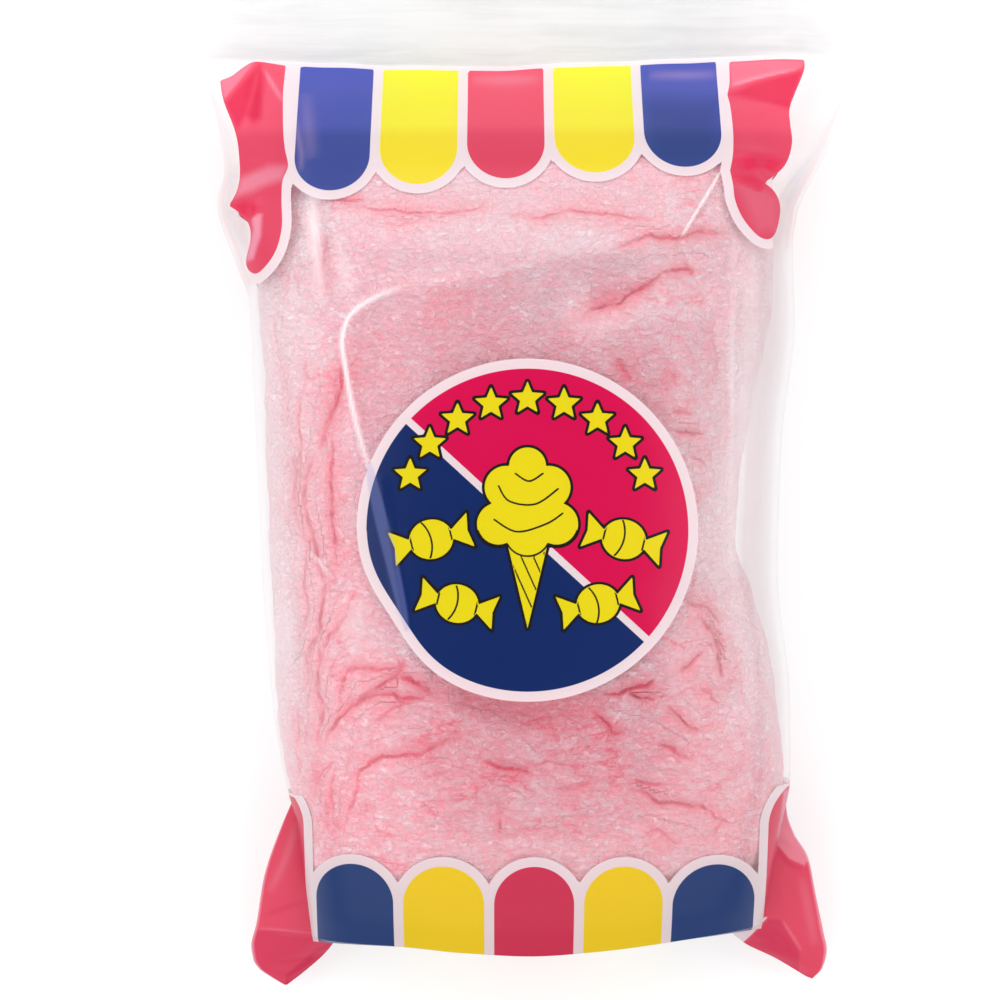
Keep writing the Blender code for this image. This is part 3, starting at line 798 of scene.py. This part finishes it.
def veins(x, y, z, length, stretch, seed):
    """A broken net of thin lines between 0 and 1, longer along the axis that stretch favours."""
    warp_x = x + 5.0 * noise_field(x, y, z, 19.0, seed) + 1.2 * noise_field(x, y, z, 5.0, seed + 1.0)
    warp_y = y + 5.0 * noise_field(x, y, z, 19.0, seed + 2.0) + 1.2 * noise_field(x, y, z, 5.0, seed + 3.0)
    field = noise_field(warp_x / stretch, warp_y * stretch, z, length, seed + 4.0)
    line = np.exp(-(field / 0.045) ** 2)
    here = smooth_step(0.02, 0.35, noise_field(x, y, z, 24.0, seed + 5.0))
    return line * here


def candy_relief(points, sides):
    """How far the candy's skin moves outward at each point, and what its material needs to know."""
    x, y, z = points.T

    def waves(table):
        return sum(size * noise_field(x, y, z, length, seed) for size, length, seed in table)

    worn = np.maximum(smooth_step(15.0, -45.0, y), smooth_step(0.50, 0.72, sides))
    worn = np.maximum(worn, 0.8 * smooth_step(10.0, 50.0, x) * smooth_step(85.0, 60.0, y))
    lively = 0.5 + 0.85 * worn
    skin = waves(LARGE_LUMPS) + lively * waves(SMALL_LUMPS)
    wander_x, wander_y = x + waves(WANDER_X), y + waves(WANDER_Y)
    crease = np.full(len(points), CREASE_REACH)
    nearest = np.full(len(points), CREASE_REACH)
    depth_there = np.zeros(len(points))
    crease_and_hollow_shade = np.zeros(len(points))
    on_front = z > CREASES_ABOVE
    for route, depth, half_width in CREASES:
        path = smooth_path(route, 5)
        low, high = path.min(0) - CREASE_REACH, path.max(0) + CREASE_REACH
        near = np.flatnonzero((wander_x > low[0]) & (wander_x < high[0]) & (wander_y > low[1])
                              & (wander_y < high[1]) & on_front)
        at_x, at_y = wander_x[near], wander_y[near]
        away, share = path_distance(at_x, at_y, path)
        fade = np.sin(np.pi * np.clip(share, 0.02, 0.98)) ** 0.6
        share_of_depth = fade * depth / DEEPEST_CREASE
        skin[near] -= CREASE_CUT * depth * fade * np.exp(-(away / half_width) ** 2)
        skin[near] += BANK * depth * fade * np.exp(-((away - 3.0 * half_width) / BANK_WIDTH) ** 2)
        # painted shade: deeper pink around each crease
        crease_and_hollow_shade[near] = np.maximum(crease_and_hollow_shade[near], share_of_depth * np.exp(-(away / CREASE_SHADE_WIDTH) ** 2))
        closer = away < nearest[near]
        here = near[closer]
        nearest[here] = away[closer]
        crease[here] = (away * side_of(at_x, at_y, path, share))[closer] / half_width
        depth_there[here] = share_of_depth[closer]
    route, depth, half_width = LABEL_HOLLOW
    hollow = crest(x, y, route, half_width) * on_front
    # painted shadow of the label, deeper pink in the hollow below it
    crease_and_hollow_shade = np.maximum(crease_and_hollow_shade, hollow)
    upright = smooth_step(0.45, 0.75, sides)
    net = ((1.0 - upright) * veins(x, y, z, 34.0, 1.5, 60.0) + upright * veins(x, y, z, 30.0, 0.6, 80.0))
    net = np.maximum(net, 0.6 * veins(x, y, z, 17.0, 1.0, 100.0))
    shift = skin - depth * hollow - 0.4 * net * (0.15 + 0.85 * worn)
    # Paler at random and where the skin rises; painted shade around creases and in the hollow below the
    # label; also darker towards the bottom and the right side, and paler at the upper left.
    pale = np.clip(0.5 + 0.55 * noise_field(x, y, z, 30.0, 71.0) + 0.35 * noise_field(x, y, z, 11.0, 73.0)
                   + 0.16 * skin - 0.9 * crease_and_hollow_shade - 0.65 * smooth_step(-45.0, -110.0, y)
                   - 0.15 * smooth_step(55.0, 70.0, x) + 0.40 * smooth_step(-30.0, -60.0, x)
                   * smooth_step(40.0, 80.0, y), 0.0, 1.0)
    return shift, {"crease": crease, "crease_depth": depth_there, "crease_and_hollow_shade": crease_and_hollow_shade, "pale": pale, "worn": worn}


def make_candy(front_columns=228, back_columns=70, rows=322):
    """The pressed candy: a closed loaf whose skin moves out and in, and which the film holds down."""
    low, high = CANDY_CROWN[0][0], CANDY_CROWN[-1][0]
    end_share = np.linspace(-1.0, 1.0, rows + 1)
    station = (0.5 * (low + high) + 0.5 * (high - low) * end_share)[:, None]
    round_off = np.sqrt(np.clip(1.0 - np.abs(end_share) ** CANDY_END_SQUARENESS, 0.0, 1.0))[:, None]
    left, right = follow(CANDY_LEFT, station), follow(CANDY_RIGHT, station)
    crown, under = follow(CANDY_CROWN, station), follow(CANDY_UNDER, station)
    middle_z = under + CANDY_EDGE_SHARE * (crown - under)
    across = np.append(spread(front_columns, 0.75)[:-1], spread(back_columns, 0.5)[:0:-1])[None, :]
    in_front = (np.arange(across.size) < front_columns)[None, :]
    dome = np.sqrt(np.clip(1.0 - np.abs(across) ** follow(CANDY_SQUARENESS, station), 0.0, 1.0))
    x = 0.5 * (left + right) + 0.5 * (right - left) * across * round_off
    z = middle_z + np.where(in_front, crown - middle_z, under - middle_z) * dome * round_off
    y = np.repeat(station, across.size, 1)
    y = y + bow(x, y, CANDY_BOW_LENGTH)
    points = np.stack([x, y, z], -1).reshape(-1, 3)
    candy = make_object("cotton_candy", points, ring_faces(rows + 1, across.size))
    normals = np.zeros(len(points) * 3, np.float32)
    candy.data.vertex_normals.foreach_get("vector", normals)
    normals = normals.reshape(-1, 3)
    sides = np.abs(np.broadcast_to(across, x.shape)).reshape(-1)
    shift, marks = candy_relief(points, sides)
    moved = points + normals * shift[:, None]
    station_of = line_y(moved[:, 0], moved[:, 1])
    moved[:, 0] = np.clip(moved[:, 0], follow(LEFT_EDGE, station_of) + FILM_CLEARANCE,
                          follow(RIGHT_EDGE, station_of) - FILM_CLEARANCE)
    front, back = film_heights(moved[:, 0], moved[:, 1], station_of)
    in_front = np.broadcast_to(in_front, x.shape).reshape(-1)
    below = np.where(in_front, 0.0, back) + FILM_CLEARANCE
    moved[:, 2] = np.clip(moved[:, 2], below, front - FILM_CLEARANCE)
    candy.data.vertices.foreach_set("co", (moved * MM).astype(np.float32).ravel())
    candy.data.update()
    for name, values in marks.items():
        stamp(candy, name, values)
    stamp(candy, "side", smooth_step(0.62, 1.0, sides))
    # painted light: the candy's sides are painted whiter, except near the bottom
    stamp(candy, "painted_side_light", smooth_step(0.66, 1.0, sides) * smooth_step(-118.0, -60.0, y.ravel()))
    return candy


def star(x, y, centre, radius):
    """Signed distance to a five-pointed star."""
    turns = np.radians(90.0 + 36.0 * np.arange(10))
    size = np.where(np.arange(10) % 2 == 0, radius, 0.45 * radius)
    corners = np.stack([centre[0] + size * np.cos(turns), centre[1] + size * np.sin(turns)], -1)
    return inside_distance(x, y, corners)


def wrapped_sweet(x, y, centre, tilt, size):
    """Signed distance to a sweet in a twisted wrapper, and the distance to the lines on it."""
    turn = math.radians(tilt)
    along = (x - centre[0]) * math.cos(turn) + (y - centre[1]) * math.sin(turn)
    over = (y - centre[1]) * math.cos(turn) - (x - centre[0]) * math.sin(turn)
    shape = np.hypot(along, over * 1.12) - size
    fan = [(0.85 * size, 0.12 * size), (1.85 * size, 0.80 * size), (1.70 * size, 0.0),
           (1.85 * size, -0.80 * size), (0.85 * size, -0.12 * size)]
    shape = np.minimum(shape, inside_distance(np.abs(along), over, np.array(fan)))
    stripe = np.abs(np.hypot(along + 1.5 * size, over) - 1.5 * size)
    stripe = np.minimum(stripe, np.abs(np.abs(along) - 0.92 * size) + (np.abs(over) > 0.35 * size) * HIDE)
    return shape, stripe


def emblem(x, y):
    """The label's plain picture: stars, wrapped sweets and spun sugar on a cone, and its inner lines."""
    shape = lines = cloud = np.full(np.shape(x), FAR)
    for turn in np.radians(np.linspace(156.0, 24.0, STARS)):
        place = (STAR_ARC * math.cos(turn), STAR_ARC * math.sin(turn) + 1.0)
        shape = np.minimum(shape, star(x, y, place, STAR_RADIUS))
    for centre, tilt, size in SWEETS:
        sweet, stripe = wrapped_sweet(x, y, centre, tilt, size)
        shape = np.minimum(shape, sweet)
        lines = np.where(sweet < 0.0, np.minimum(lines, stripe), lines)
    cone = inside_distance(x, y, np.array(CONE))
    for px, py, radius in CLOUD:
        cloud = np.minimum(cloud, np.hypot(x - px, y - py) - radius)
    shape = np.minimum(shape, np.minimum(cone, cloud))
    rim = np.abs(cloud) + (y > 0.0) * HIDE
    hatch = np.abs((x + 0.45 * y + 40.0) % 4.0 - 2.0) + (cone > 0.0) * HIDE + (cloud < 0.6) * HIDE
    lines = np.minimum(lines, np.minimum(rim, hatch))
    for swirl in SWIRLS:
        away, _ = path_distance(x, y, smooth_path(swirl))
        lines = np.minimum(lines, away)
    return shape, lines


def make_label(step=0.42):
    """The round label: a sheet that follows the front film just above it."""
    half = LABEL_RADIUS + LABEL_MARGIN
    count = int(2.0 * half / step)
    out = np.linspace(-1.0, 1.0, count + 1) * half
    dx, dy = np.meshgrid(out, out)
    x, y = LABEL_CENTRE[0] + dx, LABEL_CENTRE[1] + dy
    front, _ = film_heights(x, y, line_y(x, y))
    points = np.stack([x, y, front + LABEL_LIFT], -1).reshape(-1, 3)
    turn_from_pleat = np.arctan2(dy, dx) - math.radians(PLEAT_ANGLE)
    pleat = PLEAT_DEPTH * np.exp(-(turn_from_pleat / PLEAT_WIDTH) ** 2)
    edge = np.hypot(dx, dy) - LABEL_RADIUS + pleat
    label = make_object("round_label", points, grid_faces(count, count))
    shape, lines = emblem(dx, dy)
    stamp(label, "edge", edge)
    stamp(label, "diagonal", dx * DIAGONAL[0] + dy * DIAGONAL[1])
    stamp(label, "emblem", shape)
    stamp(label, "lines", lines)
    away, share = path_distance(x, y, smooth_path(LABEL_SHEEN))
    width = LABEL_SHEEN_WIDTH * np.sin(np.pi * np.clip(share, 0.03, 0.97)) ** 0.4
    stamp(label, "sheen", smooth_step(width + 0.5, width - 0.5, away))
    drop_points(label, np.flatnonzero(edge > LABEL_TRIM))
    return label


def drop_points(thing, indices):
    """Delete points, and the faces on them, from a mesh."""
    bm = bmesh.new()
    bm.from_mesh(thing.data)
    bm.verts.ensure_lookup_table()
    bmesh.ops.delete(bm, geom=[bm.verts[i] for i in indices], context="VERTS")
    bm.to_mesh(thing.data)
    bm.free()


# ---- materials
class Graph:
    """Adds and wires the nodes of one material, or of the world."""

    def __init__(self, owner, kind="Material"):
        self.owner = owner
        owner.use_nodes = True
        self.tree = owner.node_tree
        self.tree.nodes.clear()
        self.out = self.tree.nodes.new("ShaderNodeOutput" + kind)

    def add(self, kind, inputs=None, **settings):
        """A node whose inputs are wired to other nodes or set; colours are red, green and blue."""
        node = self.tree.nodes.new("ShaderNode" + kind)
        for key, value in settings.items():
            setattr(node, key, value)
        for key, value in (inputs or {}).items():
            socket = node.inputs[key]
            if isinstance(value, bpy.types.NodeSocket):
                self.tree.links.new(value, socket)
            else:
                socket.default_value = (*value, 1.0) if socket.type == "RGBA" else value
        return node

    def mix(self, factor, a, b):
        """Colour a where factor is 0 and b where it is 1."""
        return self.add("Mix", {0: factor, 6: a, 7: b}, data_type="RGBA").outputs[2]

    def between(self, factor, a, b):
        """Number a where factor is 0 and b where it is 1."""
        return self.add("Mix", {0: factor, 2: a, 3: b}).outputs[0]

    def blend(self, factor, a, b):
        """Shader a where factor is 0 and b where it is 1."""
        return self.add("MixShader", {0: factor, 1: a, 2: b}).outputs[0]

    def shader(self, kind, inputs=None):
        return self.add("Bsdf" + kind, inputs).outputs[0]

    def math(self, operation, a, b=0.0):
        return self.add("Math", {0: a, 1: b}, operation=operation).outputs[0]

    def plus(self, a, b):
        return self.math("ADD", a, b)

    def minus(self, a, b):
        return self.math("SUBTRACT", a, b)

    def times(self, a, b):
        return self.math("MULTIPLY", a, b)

    def ramp(self, value, low, high, top=1.0):
        """0 at low and top at high, smooth between; low may be the larger."""
        return self.add("MapRange", {"Value": value, "From Min": low, "From Max": high, "To Max": top},
                        interpolation_type="SMOOTHSTEP").outputs["Result"]

    def within(self, distance, edge=0.0):
        """1 where a signed distance is below the edge, 0 beyond, and soft over the ink's edge."""
        return self.ramp(distance, edge + INK_EDGE, edge - INK_EDGE)

    def read(self, name):
        return self.add("Attribute", attribute_name=name).outputs["Fac"]

    def finish(self, result):
        self.tree.links.new(result, self.out.inputs["Surface"])
        return self.owner


def new_material(name):
    return Graph(bpy.data.materials.new(name))


BLUE = (0.009, 0.038, 0.165)
YELLOW = (0.80, 0.57, 0.003)
RED = (0.575, 0.021, 0.073)
# painted shade: the red where bends turn it away from the light
SHADED_RED = (0.72, 0.014, 0.078)
UPPER_BLUE = (0.085, 0.110, 0.500)     # lit copies of the inks, painted light where light comes through from behind
UPPER_YELLOW = (0.89, 0.91, 0.045)
UPPER_RED = (0.865, 0.103, 0.178)
UPPER_WHITE = (0.90, 0.82, 0.855)
# painted light: the ears' red is a lighter copy of RED, where the ears catch more light
EAR_RED = (0.72, 0.063, 0.126)
# painted shade of the ears' bends
EAR_SHADED_RED = (0.60, 0.022, 0.086)
EAR_SHEEN = (0.88, 0.47, 0.57)
SHEEN_PINK = (0.88, 0.58, 0.74)
SHEEN_VIOLET = (0.22, 0.27, 0.66)
WHITE = (0.74, 0.64, 0.67)
LABEL_BLUE = (0.006, 0.023, 0.128)
LABEL_CRIMSON = (0.66, 0.004, 0.078)
LABEL_WHITE = (0.80, 0.69, 0.72)
LABEL_YELLOW = (0.80, 0.68, 0.010)
INK_BLACK = (0.012, 0.010, 0.012)
CANDY_DEEP = (0.895, 0.264, 0.332)
CANDY_PALE = (0.785, 0.620, 0.675)
# painted shade, a deeper pink, around the candy's creases
CANDY_SHADE_PINK = (0.885, 0.210, 0.278)
# random pale flecks, and painted light on the candy's sides
CANDY_WHITE = (0.85, 0.78, 0.81)
# random dark flecks, and painted shade in the candy's creases
CANDY_FLECK_AND_CREASE_SHADE = (0.80, 0.090, 0.160)
FILM_CLEAR = (0.988, 0.988, 0.990)
FILM_AT_A_SLANT = (0.92, 0.925, 0.93)
SEAL_LIGHT = (0.937, 0.937, 0.939)
SEAL_DARK = (0.877, 0.877, 0.881)
# painted highlight along the film's sharp bends
FILM_HIGHLIGHT = (0.86, 0.80, 0.82)
INK_EDGE = 0.10          # half width of the soft edge of ink
THROUGH_INK = 0.32       # share of the light that the thin print lets through


def grain(graph, where, scale, detail=4.0, distortion=0.5):
    """Noise with the given number of waves per metre along X, Y and Z."""
    drawn = graph.add("Mapping", {"Vector": where, "Scale": scale}).outputs[0]
    return graph.add("TexNoise", {"Vector": drawn, "Scale": 1.0, "Detail": detail,
                                  "Roughness": 0.6, "Distortion": distortion}).outputs[0]


def clear_film(graph):
    """Clear film: lets light through and greys and reflects more at a slant, less where it is quiet; a
    painted highlight whitens it along sharp bends.
    """
    slant = graph.add("LayerWeight", {"Blend": 0.5}).outputs["Facing"]
    lively = graph.minus(1.0, graph.times(graph.read("quiet"), 0.8))
    greying = graph.times(graph.math("POWER", slant, 5.0), lively)
    clear = graph.shader("Transparent", {"Color": graph.mix(greying, FILM_CLEAR, FILM_AT_A_SLANT)})
    where = graph.add("TexCoord").outputs["Object"]
    clouds = graph.ramp(grain(graph, where, (14.0, 90.0, 20.0), 4.0, 0.4), 0.35, 0.68, 0.7)
    streaks = graph.ramp(grain(graph, where, (16.0, 420.0, 20.0), 3.0, 0.3), 0.42, 0.70, 0.3)
    hazy = graph.mix(graph.plus(clouds, streaks), SEAL_LIGHT, SEAL_DARK)
    sealed = graph.shader("Transparent", {"Color": hazy})
    through = graph.blend(graph.read("seal"), clear, sealed)
    gloss = graph.shader("Glossy", {"Color": (1.0, 1.0, 1.0), "Roughness": 0.22})
    fresnel = graph.add("Fresnel", {"IOR": 1.5}).outputs[0]
    both_faces = graph.times(graph.math("MINIMUM", graph.times(fresnel, 1.8), 0.45), lively)
    film = graph.blend(both_faces, through, gloss)
    # painted highlight along sharp bends
    painted_highlight = graph.shader("Principled", {"Base Color": FILM_HIGHLIGHT, "Roughness": 0.35})
    return graph.blend(graph.read("bend_highlight"), film, painted_highlight)


def print_shader(graph, colour):
    """Glossy ink under the film's surface."""
    ink = graph.shader("Principled", {"Base Color": colour, "Roughness": 0.28, "IOR": 1.36})
    glow = graph.shader("Translucent", {"Color": colour})
    return graph.blend(THROUGH_INK, ink, glow)


def film_material():
    graph = new_material("printed_film")
    painted_light, painted_light_and_tone = graph.read("painted_light"), graph.read("painted_light_and_tone")
    # painted shade deepens the red and blue, painted light pales every ink towards the header, and a
    # painted sheen pales it over bends
    shade_amount = graph.times(painted_light_and_tone, -1.0)
    colour = graph.mix(painted_light, WHITE, UPPER_WHITE)
    for ink, value, upper, shaded in (("red", RED, UPPER_RED, SHADED_RED), ("blue", BLUE, UPPER_BLUE, BLUE),
                                    ("yellow", YELLOW, UPPER_YELLOW, None)):
        shade = graph.mix(painted_light, value, upper)
        if shaded:
            shade = graph.mix(shade_amount, shade, shaded)
        colour = graph.mix(graph.within(graph.read(ink)), colour, shade)
    colour = graph.mix(graph.times(painted_light_and_tone, 0.8), colour, SHEEN_PINK)
    printed = graph.within(graph.read("white"))
    return graph.finish(graph.blend(printed, clear_film(graph), print_shader(graph, colour)))


def ear_material(name, with_strip):
    graph = new_material(name)
    painted_light_and_tone = graph.read("painted_light_and_tone")
    # painted shade deepens the red, painted sheen pales it, and a painted highlight lines the outer fold
    colour = graph.mix(graph.times(painted_light_and_tone, -1.0), EAR_RED, EAR_SHADED_RED)
    for sheen, strength in ((painted_light_and_tone, 0.8), (graph.read("rim"), 0.6)):
        colour = graph.mix(graph.times(sheen, strength), colour, EAR_SHEEN)
    if with_strip:
        colour = graph.mix(graph.within(graph.read("white")), colour, WHITE)
    return graph.finish(print_shader(graph, colour))


def label_material():
    graph = new_material("label_print")
    edge, diagonal, shape = graph.read("edge"), graph.read("diagonal"), graph.read("emblem")
    field = graph.mix(graph.within(diagonal), LABEL_CRIMSON, LABEL_BLUE)
    field = graph.mix(graph.within(graph.math("ABSOLUTE", diagonal), LABEL_BAND), field, LABEL_WHITE)
    field = graph.mix(graph.within(shape, OUTLINE), field, INK_BLACK)
    yellow = graph.mix(graph.within(graph.read("lines"), INNER_LINE), LABEL_YELLOW, field)
    field = graph.mix(graph.within(shape), field, yellow)
    field = graph.mix(graph.within(edge, -LABEL_RING), LABEL_WHITE, field)
    # painted sheen where a bend of the film crosses the label
    field = graph.mix(graph.times(graph.read("sheen"), 0.28), field, SHEEN_VIOLET)
    beyond = graph.shader("Transparent")
    return graph.finish(graph.blend(graph.within(edge), beyond, print_shader(graph, field)))


def candy_material():
    graph = new_material("spun_sugar")
    where = graph.add("TexCoord").outputs["Object"]
    side, worn = graph.read("side"), graph.read("worn")

    def turned(lying, upright, detail=4.0, distortion=0.5):
        """Noise that is drawn out across the candy, and along it at its sides."""
        return graph.between(side, grain(graph, where, lying, detail, distortion),
                             grain(graph, where, upright, detail, distortion))

    strands = turned((170.0, 900.0, 500.0), (900.0, 170.0, 300.0))
    clumps = grain(graph, where, (150.0, 190.0, 170.0), 4.0, 0.8)
    flecks = grain(graph, where, (480.0, 640.0, 560.0), 3.0, 0.8)
    rough = graph.plus(graph.ramp(clumps, 0.32, 0.68, 0.28), graph.ramp(flecks, 0.32, 0.68, 0.30))
    mottle = graph.plus(rough, graph.ramp(strands, 0.32, 0.68, 0.24))
    mottle = graph.between(graph.ramp(worn, 1.0, 0.0, 0.35), mottle, 0.36)
    painted_light_and_tone = graph.plus(graph.times(graph.read("pale"), 0.36), mottle)

    # creases: painted shade as a thin broken thread with a softer bank on both its sides
    wiggle = graph.times(graph.minus(flecks, 0.5), 1.6)
    line = graph.math("ABSOLUTE", graph.plus(graph.read("crease"), wiggle))
    broken = graph.plus(graph.ramp(clumps, 0.38, 0.58, 0.65), 0.45)
    depth = graph.times(graph.ramp(graph.read("crease_depth"), 0.0, 0.62), broken)
    thread = graph.times(graph.ramp(line, 0.95, 0.10), depth)
    bank = graph.times(graph.ramp(line, 3.2, 0.0), depth)

    # painted shade of a net of finer lines on the worn parts, with a halo
    net = turned((16.0, 40.0, 30.0), (44.0, 14.0, 30.0), 6.0, 0.2)
    from_line = graph.math("ABSOLUTE", graph.minus(net, 0.5))
    here = graph.times(graph.ramp(grain(graph, where, (42.0, 42.0, 42.0), 2.0), 0.46, 0.62), worn)
    fine = graph.times(graph.ramp(from_line, 0.012, 0.0), here)
    halo = graph.times(graph.ramp(from_line, 0.045, 0.0), here)

    colour = graph.mix(painted_light_and_tone, CANDY_DEEP, CANDY_PALE)
    # random flecks, painted shade around creases and on their threads and banks, and painted light on the
    # sides
    for strength, layer in ((graph.ramp(flecks, 0.60, 0.74, 0.45), CANDY_WHITE),
                            (graph.ramp(flecks, 0.39, 0.27, 0.50), CANDY_FLECK_AND_CREASE_SHADE),
                            (graph.times(graph.read("crease_and_hollow_shade"), 0.55), CANDY_SHADE_PINK),
                            (graph.times(halo, 0.38), CANDY_SHADE_PINK),
                            (graph.times(fine, 0.50), CANDY_FLECK_AND_CREASE_SHADE),
                            (graph.times(bank, 0.55), CANDY_SHADE_PINK),
                            (thread, CANDY_FLECK_AND_CREASE_SHADE),
                            (graph.times(graph.read("painted_side_light"), 0.60), CANDY_WHITE)):
        colour = graph.mix(strength, colour, layer)
    height = graph.minus(rough, graph.times(thread, 0.4))
    bump = graph.add("Bump", {"Height": height, "Strength": 0.9, "Distance": 0.0018}).outputs[0]
    return graph.finish(graph.shader("Principled", {
        "Base Color": colour, "Roughness": 0.9, "Specular IOR Level": 0.1, "Sheen Weight": 0.30,
        "Sheen Roughness": 0.5, "Sheen Tint": (1.0, 0.85, 0.87), "Normal": bump}))


def floor_material():
    graph = new_material("white_floor")
    return graph.finish(graph.shader("Principled", {
        "Base Color": (0.50, 0.50, 0.50), "Roughness": 0.9, "Specular IOR Level": 0.0,
        "Emission Color": (1.0, 1.0, 1.0), "Emission Strength": 0.475}))


# ---- stage, light and camera
FLOOR_HALF = 3000.0
FLOOR_DROP = 0.0002      # keeps the floor just below the bag, in metres
KEY_PLACE = (-0.35, 1.1, 1.1)
KEY_AIM = (0.0, 0.0, 0.04)
KEY_SIZE = (1.4, 0.9)
KEY_POWER = 2.0
CAMERA_PLACE = (-0.0080, -0.00405, 1.0)
CAMERA_SENSOR = 36.0
CAMERA_LENS = 101.52


def set_floor():
    corners = [(-FLOOR_HALF, -FLOOR_HALF, 0.0), (FLOOR_HALF, -FLOOR_HALF, 0.0),
               (FLOOR_HALF, FLOOR_HALF, 0.0), (-FLOOR_HALF, FLOOR_HALF, 0.0)]
    floor = make_object("floor", corners, [(0, 1, 2, 3)])
    floor.location.z = -FLOOR_DROP
    floor.data.materials.append(floor_material())


def set_light():
    """One large weak lamp beyond the header."""
    lamp = bpy.data.lights.new("key", "AREA")
    lamp.shape = "RECTANGLE"
    lamp.size, lamp.size_y = KEY_SIZE
    lamp.energy = KEY_POWER
    key = bpy.data.objects.new("key", lamp)
    bpy.context.scene.collection.objects.link(key)
    key.location = KEY_PLACE
    key.rotation_euler = (Vector(KEY_AIM) - Vector(KEY_PLACE)).to_track_quat("-Z", "Y").to_euler()


def set_world():
    """A pale studio: dark overhead, brightest to the left and beyond the header."""
    graph = Graph(bpy.data.worlds.new("studio"), "World")
    where = graph.add("TexCoord").outputs["Generated"]
    x, y, z = graph.add("SeparateXYZ", {0: where}).outputs
    around = graph.plus(graph.plus(graph.ramp(x, 0.10, -0.65, 0.15), graph.ramp(y, -0.6, 0.6, 0.2)), 1.55)
    overhead = graph.ramp(z, 0.97, 0.87)
    horizon = graph.plus(graph.ramp(z, 0.05, 0.36, 0.75), 0.25)
    lit = graph.plus(graph.times(graph.times(around, overhead), horizon), 0.05)
    sky = graph.add("Background", {"Color": (1.0, 1.0, 1.0), "Strength": lit})
    bpy.context.scene.world = graph.finish(sky.outputs[0])


def set_camera():
    camera = bpy.data.objects.new("camera", bpy.data.cameras.new("camera"))
    bpy.context.scene.collection.objects.link(camera)
    camera.location = CAMERA_PLACE
    camera.data.sensor_width = CAMERA_SENSOR
    camera.data.lens = CAMERA_LENS
    bpy.context.scene.camera = camera


def set_colour():
    scene = bpy.context.scene
    scene.view_settings.view_transform = "Standard"
    scene.view_settings.look = "None"
    scene.cycles.transparent_max_bounces = 16


# ---- build
def main():
    film = film_material()
    left_ink, right_ink = ear_material("left_ear_ink", False), ear_material("right_ear_ink", True)
    pieces = [
        (make_front(), film, "film"),
        (make_back(), film, "film"),
        (make_ear("left_ear", LEFT_EAR, LEFT_EAR_BENDS, LEFT_EAR_PARTS, LEFT_EAR_LINES), left_ink, "print"),
        (make_ear("right_ear", RIGHT_EAR, RIGHT_EAR_BENDS, RIGHT_EAR_PARTS, RIGHT_EAR_LINES,
                  RIGHT_EAR_STRIP), right_ink, "print"),
        (make_label(), label_material(), "print"),
        (make_candy(), candy_material(), "candy"),
    ]
    for piece, material, slot in pieces:
        piece.data.materials.append(material)
        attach(piece, "root")
        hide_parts("sealed_bag")
    set_floor()
    set_light()
    set_world()
    set_camera()
    set_colour()


main()
